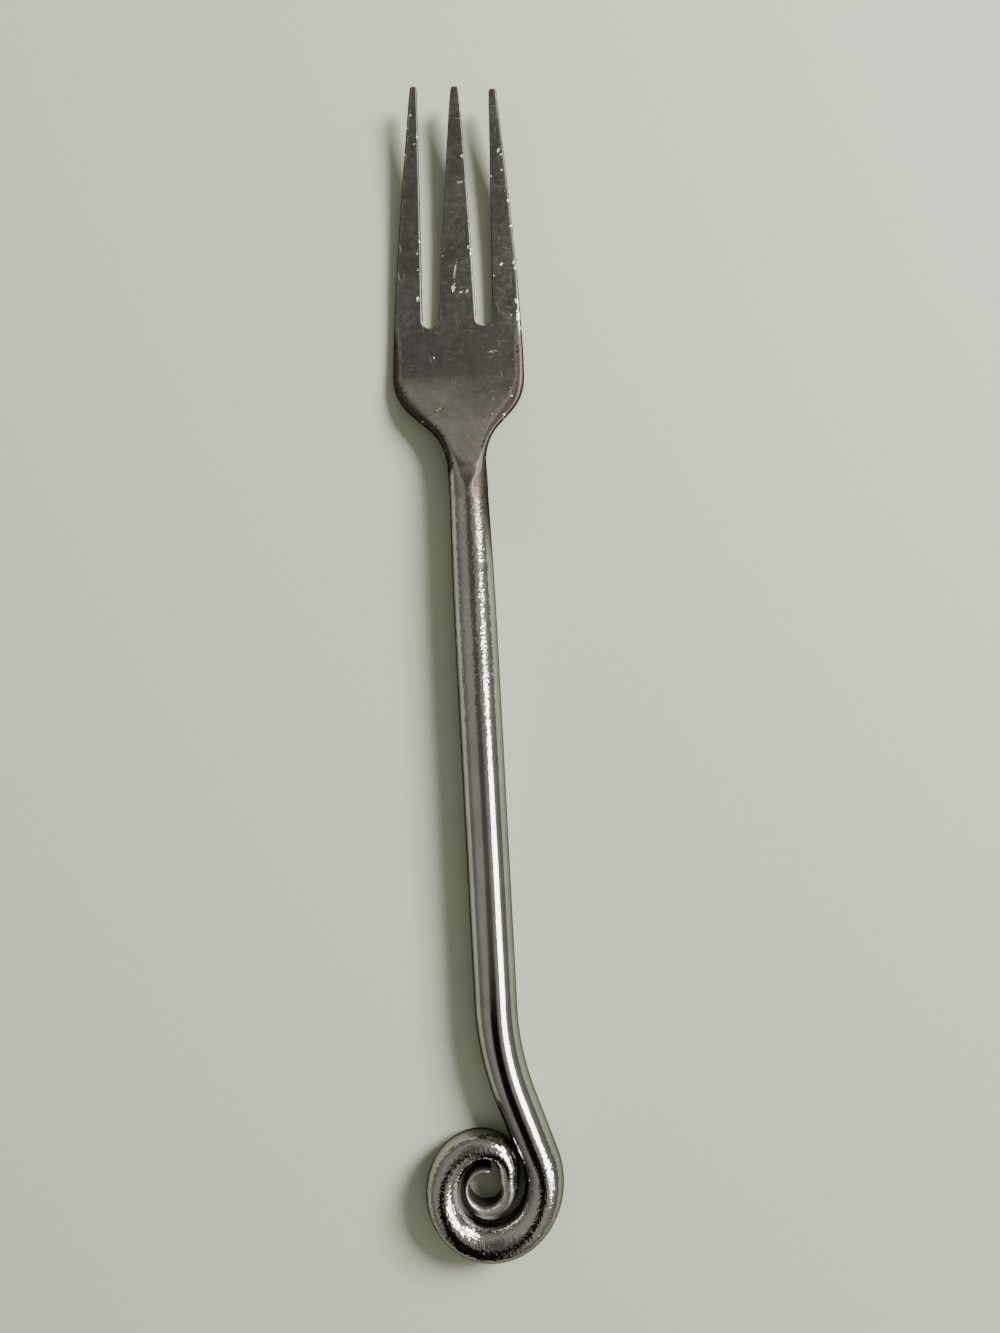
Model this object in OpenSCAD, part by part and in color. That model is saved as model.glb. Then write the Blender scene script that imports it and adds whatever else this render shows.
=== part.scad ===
// Dinner fork: a flat head with three tapered tines, welded to a round bar handle
// whose lower end is drawn thin and rolled into a flat scroll with a round eye.
// The fork lies on its back on the table, z = 0, with the tines towards +Y.
// The origin is on the table under the middle of the fork.

/* [Handle] */
// Diameter of the straight handle bar
bar_d = 7.5; // [6.6:0.1:9]
// From the weld to the middle of the scroll's eye, along the bar
handle_len = 119.5; // [95:0.5:150]
// Length over which the bar swells from the neck to its full diameter
swell_len = 24; // [8:1:40]
// Radius of the gentle bend that swings the bar aside above the scroll
sway_r = 50; // [36:1:62]
// Lean of the bar between the scroll and that bend, in degrees
lean = 19; // [16:1:22]

/* [Scroll] */
// Radius of the arc in which the bar leaves the outer turn
leave_r = 11; // [10:0.5:14]
// Bore of the eye, the round hole in the middle of the scroll
eye_d = 5.6; // [4.4:0.1:7]
// How far the eye lies to the left of the bar's own line
eye_offset = 3.5; // [2.4:0.1:4.2]
// Thickness of the bar where it leaves the scroll
leave_d = 6.8; // [6:0.1:7.3]
// Thickness of the bar at the end of the quick taper from the tip
coil_d = 6.5; // [5.6:0.1:6.8]
// Width of the drawn-out tip, across the turn
tip_w = 1.15; // [0.8:0.05:1.6]
// Height of the drawn-out tip
tip_h = 2.2; // [1.6:0.1:3.6]
// Height of the tip's middle above the table
tip_z = 3.2; // [1.8:0.1:3.6]
// Direction of the tip as seen from the eye, in degrees from +X
tip_angle = 68; // [55:1:80]
// Sweep from the tip over which the bar thickens quickly, in degrees
taper_sweep = 545; // [500:5:600]
// Air between neighbouring turns
turn_gap = 0.35; // [0.3:0.05:0.6]
// Extra air round the very tip
tip_gap = 0.3; // [0:0.05:0.5]
// Extra air where the outer turn opens before the bar leaves
side_gap = 0.7; // [0.6:0.05:1]
// How much taller than wide the outer turns are, as a share
oval = 0.13; // [0:0.01:0.15]
// Depth to which the eye's bore dresses the inner turn
eye_land = 0.2; // [0.1:0.01:0.25]

/* [Neck] */
// Diameter of the neck at the weld
neck_d = 6.8; // [5.6:0.1:7.4]
// Half the width of the weld's V-groove at the surface
groove_half = 0.9; // [0.5:0.1:1.2]
// Depth of the weld's V-groove
groove_depth = 1.1; // [0.6:0.1:1.6]
// Length of the full round neck on the head's side of the weld
neck_len = 1.4; // [1.3:0.1:3]

/* [Head] */
// From the weld to the tip of the left tine, the longest
head_len = 70; // [58:0.1:84]
// Greatest width of the head, at the shoulders
head_w = 23; // [19:0.5:28]
// From the weld to the widest point
shoulder_y = 21.2; // [20:0.1:23]
// Radius of the rounded shoulder
shoulder_r = 9.3; // [7:0.1:10]
// Radius of the hollow between shoulder and neck
throat_r = 10; // [7:0.1:10.5]
// Steepest angle of the shoulder's outline to the fork's length
shoulder_slope = 45; // [42:1:52]
// From the weld to the crease where the ramp meets the flat root
crease_y = 22.6; // [21.5:0.1:25]
// Radius that eases the round neck into the flat ramp
ramp_r = 20; // [10:1:30]
// Thickness of the head at its root
root_t = 2; // [1.6:0.1:2.6]
// Sideways set of the head from the bar's line
head_shift = -0.75; // [-1.2:0.05:1.2]
// Turn of the tines from the bar's line, in degrees, to the right
head_turn = 1.9; // [-3:0.1:3]

/* [Tines] */
// Depth of the gaps between the tines
tine_len = 40.2; // [32:0.1:43]
// Thickness of a tine at its tip
tip_t = 1.3; // [0.9:0.1:1.6]
// How far the tips rise above the root
tine_rise = 2.9; // [0:0.1:8]
// How much shorter than the left tine the middle one is
middle_short = 0.05; // [0:0.05:1.5]
// How much shorter than the left tine the right one is
right_short = 0.5; // [0:0.05:1.5]
// Half the width over the outer tines at their tips
tip_spread = 7.4; // [7:0.1:9]
// From the middle line to the inner edges of the outer tines
outer_tine_x = 6.15; // [5.6:0.05:6.4]
// Half the width of the middle tine at the bottom of the gaps
middle_half_w = 3.25; // [2.6:0.05:3.6]
// Half the width of the middle tine at its tip
middle_tip_half_w = 0.6; // [0.4:0.05:1]
// How far the middle tine's tip stands over to the right
middle_lean = 0.3; // [-0.5:0.05:0.5]
// Corner radius of a tine's tip, seen from above
tip_corner_r = 0.4; // [0.2:0.05:0.4]

/* [Edges] */
// Rounding of the head's upper edge at the shoulders
edge_top = 1; // [0.4:0.05:1.2]
// Rounding of the outer upper edge along the tines
edge_tine = 0.3; // [0.2:0.05:0.6]
// Rounding of the head's lower edge
edge_bottom = 0.8; // [0.3:0.05:1.2]
// Depth to which the root's underside is ground flat
belly_grind = 0.12; // [0.05:0.01:0.3]

/* [Hidden] */
$fn = 64;

steel_head = [0.45, 0.44, 0.41];
steel_weld = [0.40, 0.39, 0.38];
steel_bar = [0.56, 0.56, 0.55];

bar_r = bar_d / 2;
neck_r = neck_d / 2;
axis_z = bar_r;
weld_root_r = neck_r - groove_depth;
eye = [-eye_offset, -handle_len];

// Soft step from 0 at a to 1 at b
function ease(a, b, t) = let (s = min(1, max(0, (t - a) / (b - a)))) s * s * (3 - 2 * s);
function mix(a, b, s) = a + (b - a) * s;

// Skin over a row of closed rings that have the same number of points
module skin(rings) {
    count = len(rings[0]);
    last = len(rings) - 1;
    points = [for (ring = rings) each ring];
    walls = [
        for (i = [0 : last - 1], j = [0 : count - 1])
        let (
            near = i * count + j,
            near_next = i * count + (j + 1) % count,
            far = near + count,
            far_next = near_next + count
        )
        each [[near, near_next, far_next], [near, far_next, far]]
    ];
    first_cap = [for (j = [1 : count - 2]) [0, j + 1, j]];
    last_cap = [for (j = [1 : count - 2]) [last * count, last * count + j, last * count + j + 1]];
    polyhedron(points = points, faces = concat(walls, first_cap, last_cap), convexity = 10);
}

// Outline of the head: half its width at y, from the weld to the tips
shoulder_run = (shoulder_r + throat_r) * sin(shoulder_slope);
slope_rise = head_w / 2 - neck_r - (shoulder_r + throat_r) * (1 - cos(shoulder_slope));
throat_y = shoulder_y - shoulder_run - slope_rise / tan(shoulder_slope);
throat_end_y = throat_y + throat_r * sin(shoulder_slope);
shoulder_start_y = shoulder_y - shoulder_r * sin(shoulder_slope);
// The outer edge leaves the shoulder gently and draws in faster towards the tips
outer_edge_power = 1.45;
function outer_edge(y) =
    let (s = max(0, (y - shoulder_y) / (head_len - shoulder_y)))
    head_w / 2 - (head_w / 2 - tip_spread) * pow(s, outer_edge_power);
function throat_edge(y) = neck_r + throat_r - sqrt(pow(throat_r, 2) - pow(y - throat_y, 2));
function shoulder_edge(y) =
    head_w / 2 - shoulder_r + sqrt(pow(shoulder_r, 2) - pow(shoulder_y - y, 2));
function half_width(y) =
    y <= throat_y ? neck_r
    : y <= throat_end_y ? throat_edge(y)
    : y <= shoulder_start_y ? throat_edge(throat_end_y) + (y - throat_end_y) * tan(shoulder_slope)
    : y <= shoulder_y ? shoulder_edge(y)
    : outer_edge(y);
// Middle line of the head: it is set aside in the throat and turned from the shoulder on
function middle_x(y) =
    head_shift * ease(neck_len, shoulder_y, y) + tan(head_turn) * max(0, y - shoulder_y);

// Side view of the head
gap_y = head_len - tine_len;
neck_top = axis_z + neck_r;
ramp_run = crease_y - neck_len;
ramp_drop = neck_top - root_t;
ramp_slope = (ramp_run - sqrt(pow(ramp_run, 2) - 2 * ramp_r * ramp_drop)) / ramp_r;
// Below the bar's top the ramp starts as an arc and goes on as a straight slope
function ramp_fall(run) =
    run < ramp_slope * ramp_r ? pow(run, 2) / (2 * ramp_r)
    : ramp_slope * run - pow(ramp_slope, 2) * ramp_r / 2;
function tine_share(y) = max(0, (y - gap_y) / tine_len);
function top_z(y) =
    y <= neck_len ? neck_top
    : y <= crease_y ? neck_top - ramp_fall(y - neck_len)
    : root_t + tine_rise * pow(tine_share(y), 2);
function bottom_z(y) =
    y <= crease_y ? mix(axis_z - neck_r, -belly_grind, ease(neck_len, shoulder_start_y, y))
    : top_z(y) - mix(root_t + belly_grind, tip_t, tine_share(y));
// Height of the widest line of the section: it sinks from the bar's axis to the root's middle
flatten_y = neck_len + ramp_slope * ramp_r;
function middle_z(y) =
    y <= crease_y ? mix(axis_z, root_t / 2, ease(flatten_y - neck_len, crease_y - neck_len, y))
    : (top_z(y) + bottom_z(y)) / 2;
function edge_share(y) = ease(flatten_y + neck_len, crease_y, y);
function upper_edge(y) = mix(edge_top, edge_tine, ease(crease_y, gap_y + tine_len / 4, y));
// Full height of the flank's curve above its widest line, which the flat top cuts short
flank_clip = 1.04;
function flank_z(y) =
    let (rise = top_z(y) - middle_z(y), s = edge_share(y))
    max(mix(neck_r, rise, s), rise * mix(1, flank_clip, ease(neck_len, flatten_y, y)));

// One section of the head: a round neck that turns into a flat plate with rounded edges
quarter = 6;
function head_ring(y, shrink = 1) =
    let (
        half = half_width(y) * shrink,
        top_round = min(half, mix(neck_r, upper_edge(y), edge_share(y)) * shrink),
        bottom_round = min(half, mix(neck_r, edge_bottom, edge_share(y)) * shrink),
        up = flank_z(y) * shrink,
        down = (middle_z(y) - bottom_z(y)) * shrink,
        stop = asin(min(1, (top_z(y) - middle_z(y)) * shrink / up)),
        right = concat(
            [for (i = [0 : quarter]) let (t = 90 * (i / quarter - 1))
                [half - bottom_round * (1 - cos(t)), down * sin(t)]],
            [for (i = [1 : quarter]) let (t = stop * i / quarter)
                [half - top_round * (1 - cos(t)), up * sin(t)]]
        ),
        // A flat top or bottom that has shrunk to a point keeps a hair of width
        hair = 0.01
    )
    concat(
        [for (p = right) [middle_x(y) + max(p.x, hair), y, middle_z(y) + p.y]],
        [for (i = [len(right) - 1 : -1 : 0])
            [middle_x(y) - max(right[i].x, hair), y, middle_z(y) + right[i].y]]
    );

// Stations along the head, close together where the neck turns into the plate.
// The first two lie inside the turned stub, so that both make one solid.
throat_stations = 26;
blade_stations = 14;
skin_inset = 0.995;
root_inset = 0.9;
root_start = 0.6 * neck_len;
root_end = neck_len - 0.05;
// The last one lies past the tips, which the plan of the tines cuts.
past_tips_y = head_len + 0.5;
head_rings = concat(
    [head_ring(root_start, root_inset), head_ring(root_end, skin_inset)],
    [for (i = [1 : throat_stations]) head_ring(mix(neck_len, crease_y, i / throat_stations))],
    [for (i = [1 : blade_stations]) head_ring(mix(crease_y, past_tips_y, i / blade_stations))]
);

// Half the width of the middle tine, a slim spear that fills out quickly behind its tip
middle_edge_power = 0.78;
gap_r = (outer_tine_x - middle_half_w) / 2;
gap_centre_y = gap_y + gap_r;
function middle_edge(y) =
    let (s = min(1, max(0, (head_len - y) / (head_len - gap_centre_y))))
    mix(middle_tip_half_w, middle_half_w, pow(s, middle_edge_power));
function middle_set(y) = middle_lean * tine_share(y);
tine_steps = 12;
// Reach of the cutting shapes, past the head on every side
field = 1.5 * head_w;

// Square-ended tip between two edges, with rounded corners
module tip_end(left, right, end_y) {
    for (x = [left + tip_corner_r, right - tip_corner_r])
        translate([x, end_y - tip_corner_r]) circle(r = tip_corner_r);
    translate([left + tip_corner_r, end_y - 2 * tip_corner_r])
        square([right - left - 2 * tip_corner_r, 2 * tip_corner_r]);
}

// Middle tine of the plan, up to the corners of its tip
module middle_tine(end_y) {
    corner_y = end_y - tip_corner_r;
    stations = [for (i = [0 : tine_steps]) mix(gap_y, corner_y, i / tine_steps)];
    polygon(concat(
        [for (y = stations) [middle_set(y) + middle_edge(y), y]],
        [for (i = [tine_steps : -1 : 0]) let (y = stations[i]) [middle_set(y) - middle_edge(y), y]]
    ));
    tip_end(middle_set(corner_y) - middle_edge(corner_y), middle_set(corner_y) + middle_edge(corner_y), end_y);
}

// Right outer tine of the plan: its outer edge is the head's own
module outer_tine(end_y) {
    corner_y = end_y - tip_corner_r;
    translate([outer_tine_x, gap_y]) square([field, corner_y - gap_y]);
    tip_end(outer_tine_x, outer_edge(corner_y), end_y);
}

// Plan of the tines, straight on: everything outside it is cut away from the head
module tine_plan() {
    difference() {
        union() {
            translate([-field, -field]) square([2 * field, field + gap_centre_y]);
            middle_tine(head_len - middle_short);
            outer_tine(head_len - right_short);
            mirror([1, 0]) outer_tine(head_len);
        }
        for (side = [-1, 1])
            translate([side * (outer_tine_x + middle_half_w) / 2, gap_centre_y]) circle(r = gap_r);
    }
}

// Turned stub of the neck with its half of the weld's groove
module neck_stub() {
    rotate([-90, 0, 0]) rotate_extrude() polygon([
        [0, 0], [weld_root_r, 0], [neck_r, groove_half], [neck_r, neck_len], [0, neck_len]
    ]);
}

module fork_head_shape() {
    difference() {
        union() {
            intersection() {
                skin(head_rings);
                translate([head_shift, shoulder_y, -field])
                    rotate(-head_turn) translate([0, -shoulder_y])
                    linear_extrude(2 * field) tine_plan();
            }
            translate([0, 0, axis_z]) neck_stub();
        }
        translate([-field, -field, -field]) cube([2 * field, 2 * field + head_len, field]);
    }
}

// Thickness of the bar in the scroll, at a sweep in degrees from the tip
taper_start = 100;
function bar_w(sweep) =
    let (s = min(1, max(0, (sweep - taper_start) / (taper_sweep - taper_start))))
    mix(tip_w, coil_d, (1 - cos(180 * s)) / 2)
    + (leave_d - coil_d) * max(0, (sweep - taper_sweep) / (leave_sweep - taper_sweep));
// Up from the tip the height fills out sooner than the width
height_power = 0.6;
function share_of_bar(w) = pow((w - tip_w) / (bar_d - tip_w), height_power);
function bar_h(w) = mix(tip_h, bar_d, share_of_bar(w));
function bar_z(w) = mix(tip_z, axis_z, share_of_bar(w));

// Inner edge of a turn: the first turn lies on the eye, and each later one outside the turn before
eye_wrap = 305;
leave_sweep = 360 + eye_wrap;
first_r = eye_d / 2 - eye_land;
tip_air_end = 120;
side_air_start = 200;
function air(sweep) =
    turn_gap
    + tip_gap * (1 - ease(0, tip_air_end, sweep))
    + side_gap * ease(side_air_start, eye_wrap, sweep);
function inner_r(sweep) =
    sweep > 360 ? inner_r(sweep - 360) + bar_w(sweep - 360) + air(sweep - 360)
    : first_r + (tip_w + air(0)) * ease(eye_wrap, 360, sweep);
function turn_r(sweep) = inner_r(sweep) + bar_w(sweep) / 2;
// The turn round the eye is a true circle, and the turns after it grow oval
oval_start = 200;
oval_end = 395;
function turn_point(sweep) =
    let (along = 1 + oval * ease(oval_start, oval_end, sweep))
    eye + turn_r(sweep) * [cos(tip_angle + sweep), along * sin(tip_angle + sweep)];
// Heading of the bar, in degrees from +Y towards -X, over a short step of the sweep
heading_step = 0.5;
function turn_heading(sweep) =
    let (d = turn_point(sweep + heading_step) - turn_point(sweep - heading_step))
    atan2(-d.x, d.y);

// The bar leaves the scroll on its right in an arc, leans over and sways back to its own line
leave_heading = turn_heading(leave_sweep);
arc_centre = turn_point(leave_sweep) - leave_r * [cos(leave_heading), sin(leave_heading)];
arc_end = arc_centre + leave_r * [cos(lean), sin(lean)];
lean_len = (arc_end.x - sway_r * (1 - cos(lean))) / sin(lean);
sway_start_y = arc_end.y + lean_len * cos(lean);
straight_y = sway_start_y + sway_r * sin(lean);

// Frames along the scroll and the sway: place, heading and width
turn_steps = 80;
arc_steps = 3;
sway_steps = 7;
turn_frames = [
    for (i = [0 : turn_steps])
    let (sweep = leave_sweep * i / turn_steps)
    [turn_point(sweep), turn_heading(sweep), bar_w(sweep)]
];
arc_frames = [
    for (i = [1 : arc_steps])
    let (heading = mix(leave_heading, lean, i / arc_steps))
    [arc_centre + leave_r * [cos(heading), sin(heading)], heading, leave_d]
];
sway_frames = [
    for (i = [0 : sway_steps])
    let (s = i / sway_steps, heading = lean * (1 - s))
    [
        [sway_r * (1 - cos(heading)), straight_y - sway_r * sin(heading)],
        heading,
        mix(leave_d, bar_d * skin_inset, (1 + s) / 2)
    ]
];
// The swept part runs on inside the turned straight, so that both make one solid
lap_len = 1.5;
lap_inset = 0.95;
lap_frame = [[0, straight_y + lap_len], 0, bar_d * lap_inset];
bar_frames = concat(turn_frames, arc_frames, sway_frames);

// Oval section of the bar, as wide as the frame says
sides = 28;
function bar_ring(frame) =
    let (w = frame[2])
    [
        for (j = [0 : sides - 1])
        let (t = 360 * j / sides, across = w / 2 * cos(t))
        [
            frame[0].x + across * cos(frame[1]),
            frame[0].y + across * sin(frame[1]),
            bar_z(w) + bar_h(w) / 2 * sin(t)
        ]
    ];
scroll_rings = [for (f = concat(bar_frames, [lap_frame])) bar_ring(f)];

// Turned straight of the bar, swelling from the weld's groove to the full diameter
swell_steps = 6;
straight_start = straight_y + lap_len / 6;
module bar_straight() {
    rotate([-90, 0, 0]) rotate_extrude() polygon(concat(
        [[0, straight_start], [bar_r, straight_start]],
        [for (i = [0 : swell_steps]) let (s = i / swell_steps)
            [mix(bar_r, neck_r, s * s), mix(-swell_len, -groove_half, s)]],
        [[weld_root_r, 0], [0, 0]]
    ));
}

module handle_bar_shape() {
    difference() {
        union() {
            translate([0, 0, axis_z]) bar_straight();
            skin(scroll_rings);
        }
        translate([eye.x, eye.y, -bar_d]) cylinder(d = eye_d, h = 3 * bar_d);
    }
}

module neck_weld_shape() {
    translate([0, 0, axis_z]) rotate([-90, 0, 0]) rotate_extrude() polygon([
        [weld_root_r, 0], [neck_r, -groove_half], [neck_r, groove_half]
    ]);
}

// Middle of the fork's outline on the table
scroll_left = min([for (ring = scroll_rings, p = ring) p.x]);
scroll_bottom = min([for (ring = scroll_rings, p = ring) p.y]);
head_right = max([for (ring = head_rings, p = ring) p.x]);
function tip_top(side, short) =
    let (corner_y = head_len - short - tip_corner_r, corner_x = outer_edge(corner_y) - tip_corner_r)
    shoulder_y + (corner_y - shoulder_y) * cos(head_turn) + side * corner_x * sin(head_turn)
    + tip_corner_r;
head_top = max(tip_top(1, 0), tip_top(-1, right_short));
middle = [(scroll_left + head_right) / 2, (scroll_bottom + head_top) / 2];
module place() {
    translate([-middle.x, -middle.y, 0]) children();
}

// Least air between one stretch of the scroll and another, seen from above
half_turn = round(turn_steps / 3);
least_air = min([
    for (i = [0 : len(bar_frames) - 1], j = [i + half_turn : 1 : len(bar_frames) - 1])
    norm(bar_frames[i][0] - bar_frames[j][0]) - (bar_frames[i][2] + bar_frames[j][2]) / 2
]);
echo(least_air = least_air, lean_len = lean_len, middle = middle, eye = eye - middle);

module fork_head() { color(steel_head) place() fork_head_shape(); }
module neck_weld() { color(steel_weld) place() neck_weld_shape(); }
module handle_bar() { color(steel_bar) place() handle_bar_shape(); }

fork_head();
neck_weld();
handle_bar();
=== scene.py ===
"""Looks of a dinner fork: a flat head with three tines, a round bar handle and the weld between them.

The shapes follow the same rules as the solids that they stand for, with finer meshes, rounded edges
and worn steel, parts of which are darkened with painted shade. Lengths are in metres in the
properties and in millimetres in the shape functions.
"""
import math
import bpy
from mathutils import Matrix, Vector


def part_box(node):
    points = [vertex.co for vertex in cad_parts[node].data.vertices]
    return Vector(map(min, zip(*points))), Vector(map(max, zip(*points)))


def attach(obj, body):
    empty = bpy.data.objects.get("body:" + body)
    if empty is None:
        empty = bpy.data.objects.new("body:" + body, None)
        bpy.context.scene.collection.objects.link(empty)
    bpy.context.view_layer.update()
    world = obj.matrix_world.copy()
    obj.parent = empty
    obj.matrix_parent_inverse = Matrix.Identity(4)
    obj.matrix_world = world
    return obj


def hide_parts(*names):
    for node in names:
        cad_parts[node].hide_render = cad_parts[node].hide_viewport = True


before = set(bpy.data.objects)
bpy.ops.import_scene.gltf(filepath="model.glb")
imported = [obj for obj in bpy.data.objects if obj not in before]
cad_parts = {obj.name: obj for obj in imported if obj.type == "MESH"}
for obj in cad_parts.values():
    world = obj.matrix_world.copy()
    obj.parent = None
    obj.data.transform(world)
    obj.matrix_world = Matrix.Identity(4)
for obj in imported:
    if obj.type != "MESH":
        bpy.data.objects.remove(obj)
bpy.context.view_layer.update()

from types import SimpleNamespace

import bmesh
import bpy
import numpy as np
from mathutils import Vector, noise

bl_info = {
    "name": "Dinner fork with a scrolled handle",
    "version": (1, 0, 0),
    "blender": (4, 5, 0),
    "location": "3D View > Sidebar > Fork",
    "description": "Builds the fork's head, handle bar and neck weld, and a plain stage for them",
    "category": "Add Mesh",
}

MM = 0.001
# Points closer than this, in metres, are one point
MERGE_DISTANCE = 2e-6

bar_low, bar_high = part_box("handle_bar")
weld_low, weld_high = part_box("neck_weld")
# The bar's axis and the weld's plane, which the shape functions measure from
AXIS_X = (weld_low.x + weld_high.x) / 2 / MM
WELD_Y = (weld_low.y + weld_high.y) / 2 / MM

# Steps up the cone of the weld's groove, as shares of its height
CONE_STEPS = (0.5, 0.96, 1.0)
# How far the first ring of the full neck stands off the groove, and the radius that stands for a point
NECK_LEAD = 0.03
POINT_R = 1e-4


def length(name, text, mm):
    """Length property with a default in millimetres."""
    return bpy.props.FloatProperty(
        name=name, description=text, default=mm * MM, unit="LENGTH", subtype="DISTANCE", precision=5
    )


def angle(name, text, degrees):
    """Angle property with a default in degrees."""
    return bpy.props.FloatProperty(
        name=name, description=text, default=math.radians(degrees), unit="ROTATION", subtype="ANGLE"
    )


def share(name, text, value):
    """Plain number between 0 and 1."""
    return bpy.props.FloatProperty(
        name=name, description=text, default=value, min=0.0, max=1.0, subtype="FACTOR"
    )


def power(name, text, watts):
    """Power of a light."""
    return bpy.props.FloatProperty(name=name, description=text, default=watts, unit="POWER")


def tint(name, text, rgb):
    """Colour property, linear."""
    return bpy.props.FloatVectorProperty(
        name=name, description=text, default=rgb, size=3, min=0.0, max=1.0, subtype="COLOR"
    )


def own_properties(group):
    """The properties that a group declares itself."""
    return [prop for prop in group.bl_rna.properties if prop.identifier not in {"rna_type", "name"}]


def in_mm(group):
    """The group's values, with lengths in millimetres and angles in radians."""
    out = SimpleNamespace()
    for prop in own_properties(group):
        value = getattr(group, prop.identifier)
        if prop.type == "FLOAT" and prop.unit == "LENGTH":
            value = value / MM
        setattr(out, prop.identifier, value)
    return out


class NeckSizes(bpy.types.PropertyGroup):
    """The round neck that all three pieces share."""

    bar_d: length("Bar diameter", "Diameter of the straight handle bar", (bar_high.z - bar_low.z) / MM)
    neck_d: length("Neck diameter", "Diameter at the weld", (weld_high.z - weld_low.z) / MM)
    groove_half: length("Groove half width", "Half the weld's width at the surface",
                        (weld_high.y - weld_low.y) / MM / 2)
    groove_depth: length("Groove depth", "Depth of the weld's V-groove", 1.1)
    neck_len: length("Neck length", "Full round neck on the head's side of the weld", 1.4)
    skin_in: length("Skin inset", "How far the fine meshes stay inside the solids", 0.02)


class HeadSizes(bpy.types.PropertyGroup):
    """Outline, side view and edges of the head."""

    head_len: length("Head length", "From the weld to the tip of the left tine", 70)
    head_w: length("Head width", "Greatest width, at the shoulders", 22.97)
    shoulder_y: length("Shoulder place", "From the weld to the widest point", 21.2)
    shoulder_r: length("Shoulder radius", "Radius of the rounded shoulder", 9.3)
    throat_r: length("Throat radius", "Radius of the hollow between shoulder and neck", 10)
    shoulder_slope: angle("Shoulder slope", "Steepest angle of the shoulder's outline", 45)
    crease_y: length("Crease place", "From the weld to the crease where the ramp ends", 22.6)
    ramp_r: length("Ramp radius", "Radius that eases the neck into the ramp", 20)
    root_t: length("Root thickness", "Thickness of the head at its root", 2)
    head_shift: length("Head shift", "Sideways set of the head from the bar's line", -0.75)
    head_turn: angle("Head turn", "Turn of the tines from the bar's line, to the right", 1.9)
    tine_len: length("Gap depth", "Depth of the gaps between the tines", 40.2)
    middle_short: length("Middle tine short", "How much shorter the middle tine is", 0.05)
    right_short: length("Right tine short", "How much shorter the right tine is", 0.5)
    tip_t: length("Tip thickness", "Thickness of a tine at its tip", 1.3)
    tine_rise: length("Tine rise", "How far the tips rise above the root", 2.9)
    tip_spread: length("Tip spread", "Half the width over the outer tines at their tips", 7.4)
    outer_tine_x: length("Outer tine edge", "From the middle to an outer tine's inner edge", 6.15)
    middle_half_w: length("Middle tine", "Half its width at the bottom of the gaps", 3.25)
    middle_tip_half_w: length("Middle tip", "Half the width of the middle tine at its tip", 0.6)
    middle_lean: length("Middle lean", "How far the middle tine's tip stands over to the right", 0.3)
    tip_corner_r: length("Tip corner", "Corner radius of a tip, seen from above", 0.4)
    edge_top: length("Upper edge", "Rounding of the outer upper edge at the shoulders", 1)
    edge_tine: length("Tine edge", "Rounding of the outer upper edge along the tines", 0.3)
    edge_bottom: length("Lower edge", "Rounding of the outer lower edge", 0.8)
    gap_edge: length("Gap edge", "Rounding of the edges along the gaps and over the tips", 0.15)
    belly_grind: length("Belly grind", "Depth to which the underside is ground flat", 0.12)
    crease_soft: length("Soft crease", "Height over which the ramp blends into the root", 1.2)
    flank_soft: length("Soft flank", "Height over which the flank blends into the ramp", 1.8)
    ramp_hollow: length("Ramp hollow", "How far the middle of the ramp dips below a straight line", 0.6)
    ramp_tilt: angle("Ramp tilt", "How far the ramp's flat leans down to the right", 6)
    ramp_set: share("Ramp set", "How far the ramp's flat is set over to the right, as a share", 0.35)
    unevenness: length("Unevenness", "Depth of the forged surface's shallow dents", 0.035)
    edge_nick: length("Edge nicks", "Depth of the nicks along the outer edges", 0.09)


class BarSizes(bpy.types.PropertyGroup):
    """Run of the handle bar from the weld to the tip of the scroll."""

    handle_len: length("Handle length", "From the weld to the middle of the eye", 119.5)
    swell_len: length("Swell length", "Length over which the bar swells to its diameter", 24)
    sway_r: length("Sway radius", "Radius of the bend above the scroll", 50)
    lean: angle("Lean", "Lean of the bar between the scroll and that bend", 19)
    leave_r: length("Leaving radius", "Radius of the arc in which the bar leaves the scroll", 11)
    eye_d: length("Eye bore", "Bore of the round eye in the scroll", 5.6)
    eye_offset: length("Eye offset", "How far the eye lies left of the bar's line", 3.5)
    leave_d: length("Leaving thickness", "Thickness of the bar where it leaves the scroll", 6.8)
    coil_d: length("Coil thickness", "Thickness at the end of the quick taper", 6.5)
    tip_w: length("Tip width", "Width of the drawn-out tip", 1.15)
    tip_h: length("Tip height", "Height of the drawn-out tip", 2.2)
    tip_z: length("Tip middle", "Height of the tip's middle above the table", 3.2)
    tip_angle: angle("Tip direction", "Direction of the tip as seen from the eye", 68)
    taper_start: angle("Taper start", "Sweep from the tip where the bar starts to thicken", 100)
    taper_sweep: angle("Taper end", "Sweep from the tip where the quick taper ends", 545)
    turn_gap: length("Turn gap", "Air between neighbouring turns", 0.35)
    tip_gap: length("Tip gap", "Extra air round the tip", 0.3)
    side_gap: length("Side gap", "Extra air where the outer turn opens", 0.7)
    oval: share("Oval", "How much taller than wide the outer turns are", 0.13)
    tip_low: length("Tip underside", "Height of the tip's underside above the table", 0.3)
    eye_land: length("Eye land", "Depth to which the bore dresses the inner turn", 0.2)
    skin_in: length("Skin inset", "How far the fine scroll stays inside the solid", 0.05)
    sides: bpy.props.IntProperty(name="Sides", description="Faces round the bar", default=72, min=12)
    unevenness: length("Unevenness", "Depth of the drawn surface's shallow dents", 0.03)
    dent_size: length("Dent size", "Width of the drawn surface's shallow dents", 9)
    dressing: length("Dressing", "Depth of the rough dressing marks next to the weld", 0.045)
    dressed_len: length("Dressed length", "How far the rough dressing runs down from the weld", 40)
    seed: bpy.props.IntProperty(name="Seed", description="Seed of the dents", default=7)


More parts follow.
